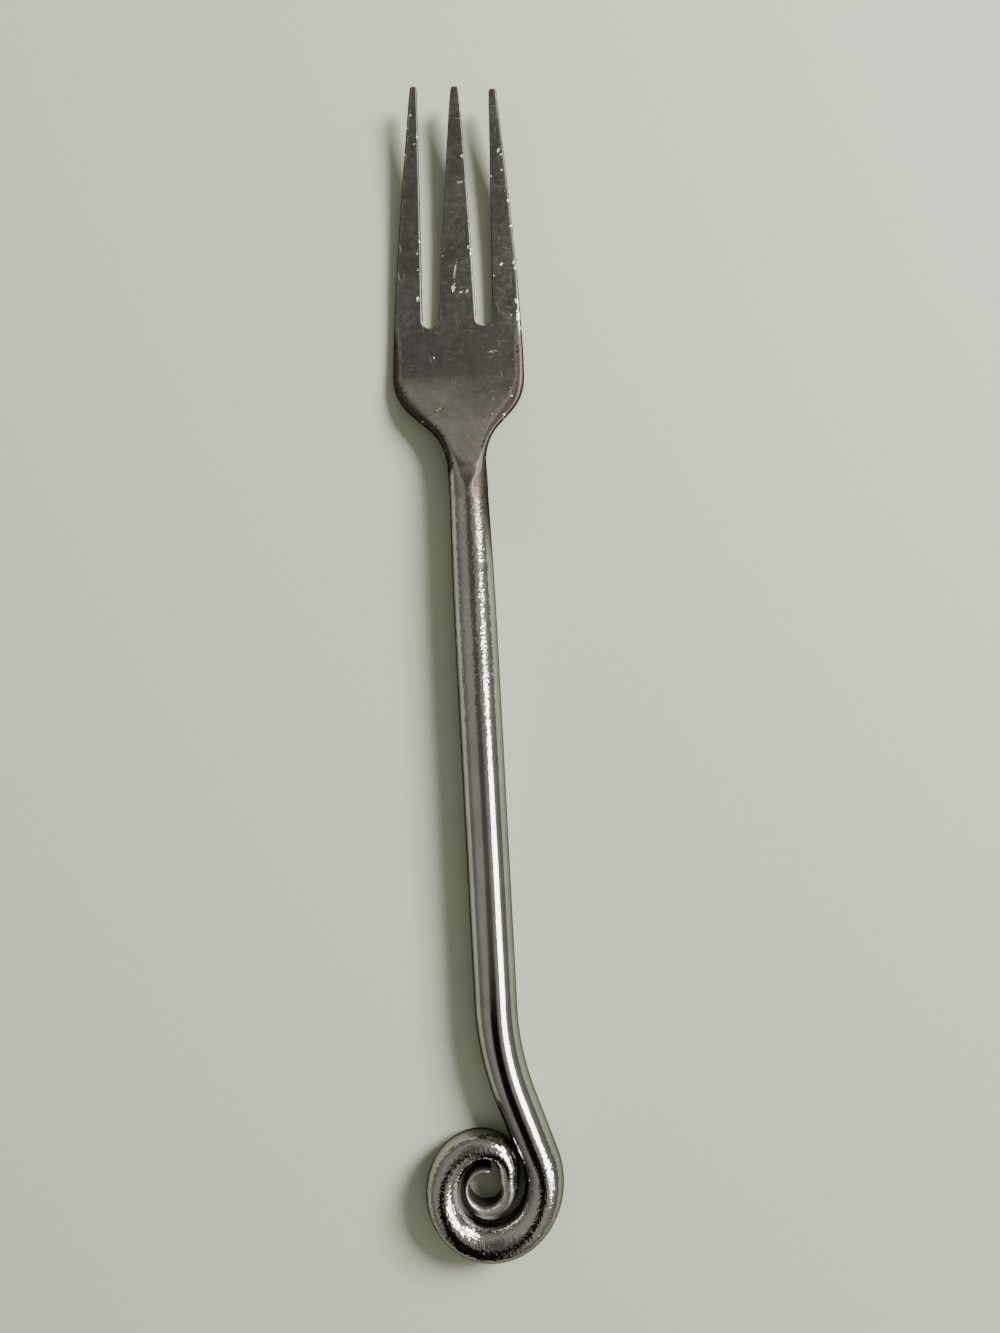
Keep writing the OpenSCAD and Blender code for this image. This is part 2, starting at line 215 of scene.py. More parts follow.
class SteelLooks(bpy.types.PropertyGroup):
    """Colours and gloss of the steel."""

    light_steel: tint("Light steel", "Colour of worn, clean metal", (0.43, 0.42, 0.395))
    dark_steel: tint("Dark steel", "Colour of the toned film left in the hollows", (0.29, 0.275, 0.245))
    # Painted shade and dark reflection: this brown darkens the head's edges, the scroll low down and round
    # its eye, and the right-facing side near the weld; it also colours the real pits in the edges.
    brown_film: tint("Brown film", "Colour of the film on edges, in the scroll and near the weld",
                     (0.050, 0.038, 0.031))
    bright_nick: tint("Bright nick", "Colour of freshly bared metal", (0.82, 0.81, 0.79))
    limb: tint("Limb", "Tint of what the steel mirrors at a grazing angle", (0.22, 0.19, 0.21))
    head_gloss: share("Head roughness", "Roughness of the tumbled head", 0.16)
    bar_gloss: share("Bar roughness", "Roughness of the polished bar", 0.075)
    weld_gloss: share("Weld roughness", "Roughness of the dressed weld", 0.20)


class StageSizes(bpy.types.PropertyGroup):
    """Floor, light and camera."""

    floor_colour: tint("Floor colour", "Colour of the plain pale floor", (0.57, 0.62, 0.48))
    floor_size: length("Floor size", "Side of the floor", 3000)
    camera_height: length("Camera height", "Height of the camera above the floor", 166.75)
    camera_x: length("Camera x", "Where the camera stands, to the right of the bar's line", 3.784)
    camera_y: length("Camera y", "Where the camera stands, from the weld", -29.76)
    camera_turn: angle("Camera turn", "Turn of the picture against the bar's line", -3.02)
    half_view: angle("Half view", "Half the picture's height as an angle", 35.16)
    key_power: power("Soft box", "Power of the soft box", 22)
    key_distance: length("Soft box distance", "From the fork to the soft box", 1000)
    key_tilt: angle("Soft box tilt", "Tilt of the soft box from straight overhead", 55)
    key_azimuth: angle("Soft box azimuth", "Direction of the soft box, from +X towards +Y", 31)
    key_side: length("Soft box side", "Side of the soft box", 360)
    strip_power: power("Strip light", "Power of the strip light", 15)
    strip_distance: length("Strip distance", "From the fork's line to the strip light", 1000)
    strip_tilt: angle("Strip tilt", "Tilt of the strip light from straight overhead, to the right", 40)
    strip_shift: length("Strip shift", "Middle of the strip light along the fork", -320)
    strip_long: length("Strip length", "Long side of the oval strip light, along the fork", 740)
    strip_short: length("Strip width", "Short side of the oval strip light", 440)
    overhead: tint("Overhead", "Light of the room straight above", (0.165, 0.152, 0.142))
    ring: tint("Ring", "Light of the room halfway up its walls", (0.49, 0.47, 0.42))
    low_wall: tint("Low wall", "Light of the room near the horizon", (0.26, 0.255, 0.24))
    near_side: tint("Near side", "Light of the room's dark side, at the foot of the picture",
                    (0.012, 0.008, 0.008))


def clamp(value):
    return min(1.0, max(0.0, value))


def ease(a, b, t):
    """Soft step from 0 at a to 1 at b."""
    s = clamp((t - a) / (b - a))
    return s * s * (3 - 2 * s)


def mix(a, b, s):
    return a + (b - a) * s


def soft_max(a, b, reach):
    """The larger of two values, rounded where they come within reach of each other."""
    near = np.maximum(reach - np.abs(a - b), 0) / reach
    return np.maximum(a, b) + near * near * reach / 4


def soft_min(a, b, reach):
    return -soft_max(-a, -b, reach)


def bulge(depth):
    """Height of a quarter ellipse, as a share, at a depth from its edge, as a share."""
    inward = 1 - np.clip(depth, 0, 1)
    return np.sqrt(1 - inward * inward)


def spoke(turn):
    """Direction in the plane, as an array."""
    return np.array([math.cos(turn), math.sin(turn)])


def hash_noise(*place):
    """Smooth noise between -1 and 1 that is the same in every run."""
    return noise.noise(Vector(place), noise_basis="PERLIN_ORIGINAL")


class HeadForm:
    """Outline and side view of the head, in millimetres from the weld along the bar's axis."""

    # Powers of the outer edge's and the middle tine's taper
    outer_edge_power, middle_edge_power = 1.45, 0.78
    # Height of the flank's curve on the ramp, against the ramp's own
    flank_clip = 1.04
    # Place of the seam between two strips, as a share of the half width
    gap_share = 0.409
    # The hollow's curve is followed for this many lengths of the ramp
    hollow_end = 1.6
    # On a thin plate the blend stays this small a part of the plate's own height
    thin_blend = 0.35

    def __init__(self, size, neck):
        self.s, self.n = size, neck
        self.neck_r = neck.neck_d / 2 - neck.skin_in
        self.axis_z = neck.bar_d / 2
        slope = size.shoulder_slope
        arcs = size.shoulder_r + size.throat_r
        rise = size.head_w / 2 - self.neck_r - arcs * (1 - math.cos(slope))
        self.throat_y = size.shoulder_y - arcs * math.sin(slope) - rise / math.tan(slope)
        self.throat_end_y = self.throat_y + size.throat_r * math.sin(slope)
        self.shoulder_start_y = size.shoulder_y - size.shoulder_r * math.sin(slope)
        self.gap_y = size.head_len - size.tine_len
        self.gap_r = (size.outer_tine_x - size.middle_half_w) / 2
        self.gap_x = (size.outer_tine_x + size.middle_half_w) / 2
        self.gap_centre_y = self.gap_y + self.gap_r
        self.neck_top = self.axis_z + self.neck_r
        run = size.crease_y - neck.neck_len
        drop = self.neck_top - size.root_t
        self.ramp_slope = (run - math.sqrt(run * run - 2 * size.ramp_r * drop)) / size.ramp_r
        self.flatten_y = neck.neck_len + self.ramp_slope * size.ramp_r

    def outer_edge(self, y):
        s = self.s
        t = max(0.0, (y - s.shoulder_y) / (s.head_len - s.shoulder_y))
        return s.head_w / 2 - (s.head_w / 2 - s.tip_spread) * t ** self.outer_edge_power

    def throat_edge(self, y):
        r = self.s.throat_r
        return self.neck_r + r - math.sqrt(r * r - (y - self.throat_y) ** 2)

    def half_width(self, y):
        s = self.s
        if y <= self.throat_y:
            return self.neck_r
        if y <= self.throat_end_y:
            return self.throat_edge(y)
        if y <= self.shoulder_start_y:
            past = y - self.throat_end_y
            return self.throat_edge(self.throat_end_y) + past * math.tan(s.shoulder_slope)
        if y <= s.shoulder_y:
            return s.head_w / 2 - s.shoulder_r + math.sqrt(s.shoulder_r ** 2 - (s.shoulder_y - y) ** 2)
        return self.outer_edge(y)

    def middle_x(self, y):
        s = self.s
        return (s.head_shift * ease(self.n.neck_len, s.shoulder_y, y)
                + math.tan(s.head_turn) * max(0.0, y - s.shoulder_y))

    def middle_edge(self, y):
        s = self.s
        t = clamp((s.head_len - y) / (s.head_len - self.gap_centre_y))
        return mix(s.middle_tip_half_w, s.middle_half_w, t ** self.middle_edge_power)

    def middle_set(self, y):
        """How far the middle tine stands over to the right."""
        s = self.s
        return s.middle_lean * max(0.0, (y - self.gap_centre_y) / (s.head_len - self.gap_centre_y))

    def upper_edge(self, y):
        s = self.s
        return mix(s.edge_top, s.edge_tine, ease(s.crease_y, self.gap_y + s.tine_len / 4, y))

    def tine_share(self, y):
        return max(0.0, (y - self.gap_y) / self.s.tine_len)

    def blade_top(self, y):
        """Height of the blade's upper face, which rises towards the tips."""
        return self.s.root_t + self.s.tine_rise * self.tine_share(y) ** 2

    def top_z(self, y):
        s = self.s
        run = y - self.n.neck_len
        if run <= 0:
            return self.neck_top
        if run < self.ramp_slope * s.ramp_r:
            fall = run * run / (2 * s.ramp_r)
        else:
            fall = self.ramp_slope * run - self.ramp_slope ** 2 * s.ramp_r / 2
        down = min(self.hollow_end, run / (s.crease_y - self.n.neck_len))
        fall += s.ramp_hollow * 4 * down * (1 - down)
        return float(soft_max(self.neck_top - fall, self.blade_top(y), s.crease_soft))

    def bottom_z(self, y):
        s = self.s
        if y <= s.crease_y:
            low = self.axis_z - self.neck_r
            return mix(low, -s.belly_grind, ease(self.n.neck_len, self.shoulder_start_y, y))
        return self.blade_top(y) - mix(s.root_t + s.belly_grind, s.tip_t, self.tine_share(y))

    def widest_z(self, y):
        """Height of the section's widest line."""
        s = self.s
        if y <= s.crease_y:
            start, end = self.flatten_y - self.n.neck_len, s.crease_y - self.n.neck_len
            return mix(self.axis_z, s.root_t / 2, ease(start, end, y))
        settled = (self.blade_top(y) + self.bottom_z(y)) / 2
        return mix(s.root_t / 2, settled, ease(s.crease_y, self.gap_y, y))

    def edge_share(self, y):
        return ease(self.flatten_y + self.n.neck_len, self.s.crease_y, y)

    def section(self, y, across, outer_depth, cut):
        """Upper and lower heights at points across the head.

        outer_depth is each point's depth from the head's own edge, and cut is the share of the full
        thickness that the edges of the gaps and tips leave there.
        """
        s = self.s
        flat = self.edge_share(y)
        half = self.half_width(y)
        middle, top = self.widest_z(y), self.top_z(y)
        rise = top - middle
        ramp = ease(self.n.neck_len, self.flatten_y, y)
        up = max(mix(self.neck_r, rise, flat), rise * mix(1, self.flank_clip, ramp))
        uneven = ramp * (1 - ease(self.flatten_y, s.crease_y, y))
        set_over = np.where(across < 0, 1 + s.ramp_set * uneven, 1 - s.ramp_set * uneven)
        top_round = np.minimum(half, mix(self.neck_r, self.upper_edge(y), flat) * set_over)
        bottom_round = min(half, mix(self.neck_r, s.edge_bottom, flat))
        flank = up * bulge(outer_depth / top_round)
        soft = min(s.flank_soft * ramp + 1e-4, self.thin_blend * rise)
        upper = np.clip(soft_min(flank, rise - math.tan(s.ramp_tilt) * uneven * across, soft), 0, None)
        lower = (middle - self.bottom_z(y)) * bulge(outer_depth / bottom_round)
        return middle + upper * cut, np.maximum(middle - lower * cut, 0.0)


def cosine_steps(start, end, count):
    """Steps from start to end that crowd together at start."""
    return [mix(start, end, 1 - math.cos(math.pi / 2 * i / count)) for i in range(count + 1)]


def even_steps(start, end, count):
    return [mix(start, end, i / count) for i in range(count + 1)]


def columns(low, high, edges, counts):
    """Places across a strip, close together in the rounded edge at each side."""
    fit = min(1.0, 0.92 * (high - low) / sum(edges))
    low_edge, high_edge = (edge * fit for edge in edges)
    left = cosine_steps(low, low + low_edge, counts[0])
    middle = even_steps(low + low_edge, high - high_edge, counts[1])
    right = cosine_steps(high, high - high_edge, counts[2])[::-1]
    return np.array(left + middle[1:-1] + right)


class HeadMesh:
    """Upper and lower sheets of the head, as strips of rows that meet at the edges."""

    strip_counts = {"left": (12, 14, 7), "middle": (7, 18, 7), "right": (7, 14, 12)}
    side = {"left": -1, "middle": 0, "right": 1}
    throat_rows, root_rows, near_gap_rows, arc_rows, tine_rows, tip_rows = 84, 22, 8, 12, 92, 9
    # Rows crowd together this far before the gaps and before the tips
    gap_lead, tip_lead = 0.5, 0.45
    # Most of a narrow strip that its rolled edge may take
    most_rolled = 0.75
    # Depth from the edges to which the steel is worn, and how much faster wear fades at gaps and tips
    wear_reach, gap_wear, tip_wear = 1.6, 2.2, 2.0
    # Painted shade on the rolled edges: its reach at the throat as a share, at the shoulder, and where it
    # runs
    film_share, film_reach = 0.45, 2.3
    film_start, film_end, film_fade = 1.5, 5.0, 14
    # Nicks in the outer edges: length, two places in the noise, least noise that bites, share of the depth
    nicks = ((0.9, 3.1, 0.4, 0.25, 1.0), (2.6, 7.7, 2.9, 0.2, 0.6))
    # Dents in the face: width, length, place in the noise, share of the depth; they grow in from the neck
    dents = ((6.5, 8.5, 1.7, 0.7), (2.1, 2.6, 8.2, 0.3))
    dents_fade = 4

    def __init__(self, form):
        self.form = form
        self.points, self.faces = [], []
        self.edge_near, self.rolled_edge = [], []
        for strip in self.strip_counts:
            self.add_strip(strip)

    def tine_end(self, strip):
        s = self.form.s
        short = {"left": 0.0, "middle": s.middle_short, "right": s.right_short}[strip]
        along = (s.head_len - short - s.shoulder_y) * math.cos(s.head_turn)
        aside = self.side[strip] * (s.outer_tine_x + s.tip_spread) / 2
        return s.shoulder_y + along - aside * math.sin(s.head_turn)

    def rows(self, strip):
        """Places along the head, as (place, radius of the neck's turned end or None)."""
        f, n = self.form, self.form.n
        root_r = f.neck_r - n.groove_depth
        end = self.tine_end(strip)
        near_gap, tip_start = f.gap_y - self.gap_lead, end - self.tip_lead
        places = even_steps(n.neck_len, f.s.crease_y, self.throat_rows)
        places += even_steps(f.s.crease_y, near_gap, self.root_rows)[1:]
        places += cosine_steps(f.gap_y, near_gap, self.near_gap_rows)[-2::-1]
        places += cosine_steps(f.gap_y, f.gap_centre_y, self.arc_rows)[1:]
        places += even_steps(f.gap_centre_y, tip_start, self.tine_rows)[1:]
        places += cosine_steps(end, tip_start, self.tip_rows)[-2::-1]
        stub = [(0.0, POINT_R), (0.0, root_r * 0.5), (0.0, root_r)]
        stub += [(n.groove_half * t, mix(root_r, f.neck_r, t)) for t in CONE_STEPS]
        stub += [(n.groove_half + NECK_LEAD, f.neck_r)]
        return stub + [(y, None) for y in places]

    def gap_sides(self, y, side):
        """Inner and outer side of a gap, from the middle line; the same where there is no gap yet."""
        f, s = self.form, self.form.s
        if y >= f.gap_centre_y:
            return f.middle_edge(y) + side * f.middle_set(y), s.outer_tine_x
        if y >= f.gap_y:
            reach = math.sqrt(max(0.0, f.gap_r ** 2 - (y - f.gap_centre_y) ** 2))
            return f.gap_x - reach, f.gap_x + reach
        line = mix(f.gap_share * f.half_width(y), f.gap_x, ease(s.shoulder_y, f.gap_y, y))
        return line, line

    def gap_depth(self, y, across):
        """Depth of points from the nearest gap's edge."""
        f, s = self.form, self.form.s
        off = np.abs(across)
        if y < f.gap_centre_y:
            return np.maximum(0.0, np.hypot(off - f.gap_x, y - f.gap_centre_y) - f.gap_r)
        inner = np.where(across < 0, self.gap_sides(y, -1)[0], self.gap_sides(y, 1)[0])
        return np.where(off < f.gap_x, inner - off, off - s.outer_tine_x)

    def add_strip(self, strip):
        f = self.form
        end = self.tine_end(strip)
        upper_rows, lower_rows = [], []
        for y, turned in self.rows(strip):
            if turned is None:
                across, upper, lower, near, film = self.flat_row(strip, y, end)
            else:
                seam = f.gap_share * turned
                across = self.row_places(strip, y, turned, (seam, seam, seam), 0.0, 0.0)
                lift = np.sqrt(np.maximum(0.0, turned ** 2 - across ** 2))
                upper, lower = f.axis_z + lift, f.axis_z - lift
                near = film = np.zeros_like(across)
            x = across + f.middle_x(y) + AXIS_X
            for rows, height in ((upper_rows, upper), (lower_rows, lower)):
                rows.append(self.add_points(x, y + WELD_Y, height, np.clip(near, 0, 1), np.clip(film, 0, 1)))
        self.add_sheet(upper_rows, False)
        self.add_sheet(lower_rows, True)

    def row_places(self, strip, y, half, gaps, nick, inset):
        """Places across a strip; gaps has the middle tine's left and right edge and the gaps' far side."""
        f, s = self.form, self.form.s
        left_inner, right_inner, outer = gaps
        low, high = {"left": (-half + nick, -outer), "middle": (-left_inner, right_inner),
                     "right": (outer, half - nick)}[strip]
        low, high = low + inset, high - inset
        rolled = min(half, mix(f.neck_r, f.upper_edge(y), f.edge_share(y)))
        rolled = min(rolled, self.most_rolled * (high - low))
        edges = {"left": (rolled, s.gap_edge), "middle": (s.gap_edge, s.gap_edge),
                 "right": (s.gap_edge, rolled)}[strip]
        return columns(low, high, edges, self.strip_counts[strip])

    def flat_row(self, strip, y, end):
        """Places across a strip, their upper and lower heights, how worn they are and how much painted shade
        their rolled edges get.
        """
        f, s = self.form, self.form.s
        half, nick = f.half_width(y), self.nick(strip, y)
        (left_inner, outer), (right_inner, _) = self.gap_sides(y, -1), self.gap_sides(y, 1)
        tip = max(0.0, y - (end - s.tip_corner_r))
        inset = s.tip_corner_r - math.sqrt(max(0.0, s.tip_corner_r ** 2 - tip ** 2))
        across = self.row_places(strip, y, half, (left_inner, right_inner, outer), nick, inset)

        outer_depth = np.maximum(0.0, half - nick - inset - np.abs(across))
        gap_depth = self.gap_depth(y, across)
        if strip == "middle":
            gap_depth = gap_depth - inset
        elif y > end - s.tip_corner_r:
            gap_depth = self.side[strip] * across - outer - inset
        gap_depth = np.maximum(0.0, gap_depth)
        tip_cut = bulge(np.full_like(across, (end - y) / s.gap_edge))
        cut = np.minimum(bulge(gap_depth / s.gap_edge), tip_cut)
        upper, lower = f.section(y, across, outer_depth, cut)
        upper = self.uneven(y, across, upper, lower, cut)

        depth = np.minimum(outer_depth, gap_depth * self.gap_wear)
        near = 1 - np.minimum(depth, (end - y) * self.tip_wear) / self.wear_reach
        reach = mix(self.film_share * half, self.film_reach, ease(f.throat_end_y, s.shoulder_y, y))
        fade = ease(self.film_start, self.film_end, y)
        fade *= 1 - ease(s.crease_y, s.crease_y + self.film_fade, y)
        return across, upper, lower, near, fade * (1 - outer_depth / reach)

    def nick(self, strip, y):
        """Depth of the small nicks worn into the outer edges."""
        f = self.form
        if strip == "middle" or y < f.throat_end_y:
            return 0.0
        bite = 0.0
        for size, place, depth_place, least, part in self.nicks:
            bite += part * max(0.0, hash_noise(y / size, place * self.side[strip], depth_place) - least)
        return f.s.edge_nick * bite * ease(f.throat_end_y, f.s.shoulder_y, y)

    def uneven(self, y, across, upper, lower, cut):
        """Shallow dents in the upper face, deepest where the plate is thick."""
        s, neck_len = self.form.s, self.form.n.neck_len
        deep = s.unevenness * min(1.0, (float(np.max(upper - lower))) / s.root_t)
        dents = [0.5 + 0.5 * sum(part * hash_noise(x / wide, y / long, place)
                                 for wide, long, place, part in self.dents) for x in across]
        fade = ease(neck_len, neck_len + self.dents_fade, y)
        return np.maximum(upper - deep * fade * np.array(dents) * cut, lower)

    def add_points(self, x, y, z, near, film):
        first = len(self.points)
        self.points += [(a * MM, y * MM, c * MM) for a, c in zip(x, z)]
        self.edge_near += list(near)
        self.rolled_edge += list(film)
        return list(range(first, len(self.points)))

    def add_sheet(self, rows, turned_over):
        for row, after in zip(rows, rows[1:]):
            for i in range(len(row) - 1):
                face = (row[i], row[i + 1], after[i + 1], after[i])
                self.faces.append(face[::-1] if turned_over else face)


def new_object(name, data):
    """Object in the scene's own collection."""
    made = bpy.data.objects.new(name, data)
    bpy.context.scene.collection.objects.link(made)
    return made


def new_piece(name, points, faces, values):
    """Smooth mesh object with one value a point, doubles merged and faces turned outwards."""
    mesh = bpy.data.meshes.new(name)
    mesh.from_pydata(points, [], faces)
    set_values(mesh, values)
    close_mesh(mesh)
    return new_object(name, mesh)


def set_values(mesh, values):
    """Gives each point of a mesh its own numbers, under the names in values."""
    for key, numbers in values.items():
        layer = mesh.attributes.new(key, "FLOAT", "POINT")
        layer.data.foreach_set("value", np.asarray(numbers, np.float32))


def close_mesh(mesh):
    """Merges doubles, drops flat faces, fills pinholes and turns all faces outwards."""
    work = bmesh.new()
    work.from_mesh(mesh)
    bmesh.ops.remove_doubles(work, verts=work.verts, dist=MERGE_DISTANCE)
    bmesh.ops.dissolve_degenerate(work, edges=work.edges, dist=MERGE_DISTANCE / 4)
    loose = [v for v in work.verts if not v.link_faces]
    bmesh.ops.delete(work, geom=loose, context="VERTS")
    bmesh.ops.holes_fill(work, edges=[e for e in work.edges if e.is_boundary], sides=6)
    bmesh.ops.recalc_face_normals(work, faces=work.faces)
    for face in work.faces:
        face.smooth = True
    work.to_mesh(mesh)
    open_edges = sum(1 for e in work.edges if len(e.link_faces) != 2)
    work.free()
    mesh.update()
    print(mesh.name, "faces", len(mesh.polygons), "open edges", open_edges)


class BarPath:
    """Stations along the handle bar from the weld to the tip of the scroll, in millimetres."""

    # Sweeps from the tip, in degrees: where the first turn lifts off the eye, where the extra air round
    # the tip ends and that beside the outer turn starts, and where the turns grow oval
    eye_wrap = 305
    tip_air_end, side_air_start = 120, 200
    oval_start, oval_end = 200, 395
    # Steps between stations: along the bar, round the scroll, and to either side for the heading
    step, sweep_step, heading_step = 0.55, 2.5, 0.5
    # Power by which the height grows with the width, and length of the dome that the tip ends in
    height_power, dome = 0.6, 0.55

    def __init__(self, size, neck):
        self.s, self.n = size, neck
        self.axis_z = neck.bar_d / 2
        self.leave_sweep = 360 + self.eye_wrap
        self.eye = np.array([-size.eye_offset, -size.handle_len])
        self.stations = []
        self.walk()

    def width(self, sweep):
        s = self.s
        start, end = math.degrees(s.taper_start), math.degrees(s.taper_sweep)
        t = clamp((sweep - start) / (end - start))
        late = max(0.0, (sweep - end) / (self.leave_sweep - end))
        return mix(s.tip_w, s.coil_d, (1 - math.cos(math.pi * t)) / 2) + (s.leave_d - s.coil_d) * late

    def air(self, sweep):
        s = self.s
        return (s.turn_gap + s.tip_gap * (1 - ease(0, self.tip_air_end, sweep))
                + s.side_gap * ease(self.side_air_start, self.eye_wrap, sweep))

    def inner_r(self, sweep):
        s = self.s
        if sweep > 360:
            before = sweep - 360
            return self.inner_r(before) + self.width(before) + self.air(before)
        first = s.eye_d / 2 - s.eye_land
        return first + (s.tip_w + self.air(0)) * ease(self.eye_wrap, 360, sweep)

    def turn_point(self, sweep):
        r = self.inner_r(sweep) + self.width(sweep) / 2
        along = 1 + self.s.oval * ease(self.oval_start, self.oval_end, sweep)
        return self.eye + r * spoke(self.s.tip_angle + math.radians(sweep)) * (1, along)

    def turn_heading(self, sweep):
        d = self.turn_point(sweep + self.heading_step) - self.turn_point(sweep - self.heading_step)
        return math.atan2(-d[0], d[1])

    def add(self, place, heading, width):
        """One station of the drawn bar, which grows flat and low towards the tip."""
        s, n = self.s, self.n
        part = max(0.0, (width - s.tip_w) / (n.bar_d - s.tip_w)) ** self.height_power
        inset = mix(s.skin_in, n.skin_in, max(0.0, (width - s.leave_d) / (n.bar_d - s.leave_d)))
        middle, reach = mix(s.tip_z, self.axis_z, part), mix(s.tip_h, n.bar_d, part) / 2 - inset
        # The innermost turn hangs down to the table, so that the eye looks dark
        high, low = middle + reach, mix(s.tip_low, middle - reach, part)
        size = [width / 2 - inset, (high - low) / 2]
        self.stations.append([*place, (high + low) / 2, *spoke(heading), *size])

    def add_round(self, y, radius):
        """One station of the straight bar, which is round and on its own axis."""
        radius = max(radius - self.n.skin_in, POINT_R)
        self.stations.append([0, y, self.axis_z, *spoke(0), radius, radius])

    def run(self, stretch):
        """Even shares from just after 0 to 1 over a stretch, one step apart."""
        count = max(2, round(abs(stretch) / self.step))
        return [i / count for i in range(1, count + 1)]

    def walk(self):
        s, n = self.s, self.n
        bar_r, neck_r = n.bar_d / 2, n.neck_d / 2
        root_r = neck_r - n.groove_depth
        leave_heading = self.turn_heading(self.leave_sweep)
        arc_centre = self.turn_point(self.leave_sweep) - s.leave_r * spoke(leave_heading)
        arc_end = arc_centre + s.leave_r * spoke(s.lean)
        lean_len = (arc_end[0] - s.sway_r * (1 - math.cos(s.lean))) / math.sin(s.lean)
        straight_y = arc_end[1] + lean_len * math.cos(s.lean) + s.sway_r * math.sin(s.lean)
        for radius in (0.0, root_r / 2, root_r):
            self.add_round(0, radius)
        for t in CONE_STEPS:
            self.add_round(-n.groove_half * t, mix(root_r, neck_r, t))
        self.add_round(-n.groove_half - NECK_LEAD, neck_r)
        for t in self.run(s.swell_len):
            self.add_round(mix(-n.groove_half, -s.swell_len, t), mix(bar_r, neck_r, (1 - t) ** 2))
        for t in self.run(straight_y + s.swell_len):
            self.add_round(mix(-s.swell_len, straight_y, t), bar_r)
        for t in self.run(s.sway_r * s.lean):
            h = s.lean * t
            place = (s.sway_r * (1 - math.cos(h)), straight_y - s.sway_r * math.sin(h))
            self.add(place, h, mix(n.bar_d, s.leave_d, t / 2))
        sway_end = np.array(self.stations[-1][:2])
        for t in self.run(lean_len):
            self.add(mix(sway_end, arc_end, t), s.lean, mix(mix(n.bar_d, s.leave_d, 0.5), s.leave_d, t))
        for t in self.run(s.leave_r * (leave_heading - s.lean)):
            h = mix(s.lean, leave_heading, t)
            self.add(arc_centre + s.leave_r * spoke(h), h, s.leave_d)
        for i in reversed(range(int(self.leave_sweep / self.sweep_step))):
            sweep = self.sweep_step * i
            self.add(self.turn_point(sweep), self.turn_heading(sweep), self.width(sweep))
        self.round_tip()

    def round_tip(self):
        """Draws the last stations in, so that the tip ends in a dome inside its own length."""
        rows = np.array(self.stations)
        gaps = np.linalg.norm(np.diff(rows[:, :2], axis=0), axis=1)
        to_end = np.concatenate([np.cumsum(gaps[::-1])[::-1], [0.0]])
        near = to_end < self.dome
        size = np.sqrt(np.maximum(1e-6, 1 - (1 - to_end[near] / self.dome) ** 2))
        rows[near, 5:] *= size[:, None]
        self.stations = rows


class Field:
    """Output of a node that can stand in a formula: sums, products and the like become Math nodes."""

    def __init__(self, tree, socket):
        self.tree, self.socket = tree, socket

    def __add__(self, other):
        return calc("ADD", self, other)

    def __sub__(self, other):
        return calc("SUBTRACT", self, other)

    def __mul__(self, other):
        return calc("MULTIPLY", self, other)

    def __rmul__(self, other):
        return calc("MULTIPLY", other, self)

    def __truediv__(self, other):
        return calc("DIVIDE", self, other)

    def __rtruediv__(self, other):
        return calc("DIVIDE", other, self)


def put(socket, value):
    """Links a field to an input, or sets the input to a plain value."""
    if isinstance(value, Field):
        value.tree.links.new(value.socket, socket)
    else:
        socket.default_value = value


def add_node(tree, kind, inputs=(), **settings):
    """New node with its settings; inputs pairs an input's name or number with a field or a value."""
    node = tree.nodes.new(kind)
    for key, value in settings.items():
        setattr(node, key, value)
    for key, value in inputs:
        put(node.inputs[key], value)
    return node


def add_field(tree, kind, inputs=(), output=0, **settings):
    """New node, given as the field of one of its outputs."""
    return Field(tree, add_node(tree, kind, inputs, **settings).outputs[output])


def fields(node):
    """All outputs of a node by name."""
    return {socket.name: Field(node.id_data, socket) for socket in node.outputs}


def tree_of(values):
    return next(value.tree for value in values if isinstance(value, Field))


def calc(operation, *values):
    """Math node on fields and numbers."""
    return add_field(tree_of(values), "ShaderNodeMath", enumerate(values), operation=operation)


def highest(a, b):
    return calc("MAXIMUM", a, b)


def lowest(a, b):
    return calc("MINIMUM", a, b)


def vector_calc(operation, *values, output=0):
    """Vector Math node on fields and plain vectors."""
    keys = (0, "Scale") if operation == "SCALE" else range(len(values))
    return add_field(tree_of(values), "ShaderNodeVectorMath", zip(keys, values), output, operation=operation)


def seen_from_above(place, centre):
    """Way from a centre to a place, without its height."""
    return vector_calc("MULTIPLY", vector_calc("SUBTRACT", place, centre), (1.0, 1.0, 0.0))


def size_of(vector):
    return vector_calc("LENGTH", vector, output=1)


def combine(tree, **axes):
    """Vector put together from fields for its axes."""
    return add_field(tree, "ShaderNodeCombineXYZ", axes.items())


def split(vector):
    """The axes of a vector by name."""
    return fields(add_node(vector.tree, "ShaderNodeSeparateXYZ", [(0, vector)]))


def remap(value, low, high, to_low=0.0, to_high=1.0, kind="SMOOTHSTEP"):
    """Map Range from low and high to two new values, clamped."""
    inputs = zip(("Value", "From Min", "From Max", "To Min", "To Max"), (value, low, high, to_low, to_high))
    return add_field(value.tree, "ShaderNodeMapRange", inputs, "Result", interpolation_type=kind)


def fade_out(value, low, high, full=1.0):
    """Full at low, nothing at high."""
    return remap(value, low, high, full, 0.0)


def blend(factor, a, b):
    """Colour between two colours."""
    return add_field(factor.tree, "ShaderNodeMix", [(0, factor), (6, a), (7, b)], 2, data_type="RGBA")


def add_noise(place, size_mm, detail=2.0, roughness=0.55, distortion=0.0):
    """Noise with lumps of a size in millimetres."""
    inputs = [("Vector", place), ("Scale", 1 / MM / size_mm), ("Detail", detail), ("Roughness", roughness),
              ("Distortion", distortion)]
    return add_field(place.tree, "ShaderNodeTexNoise", inputs, "Fac")


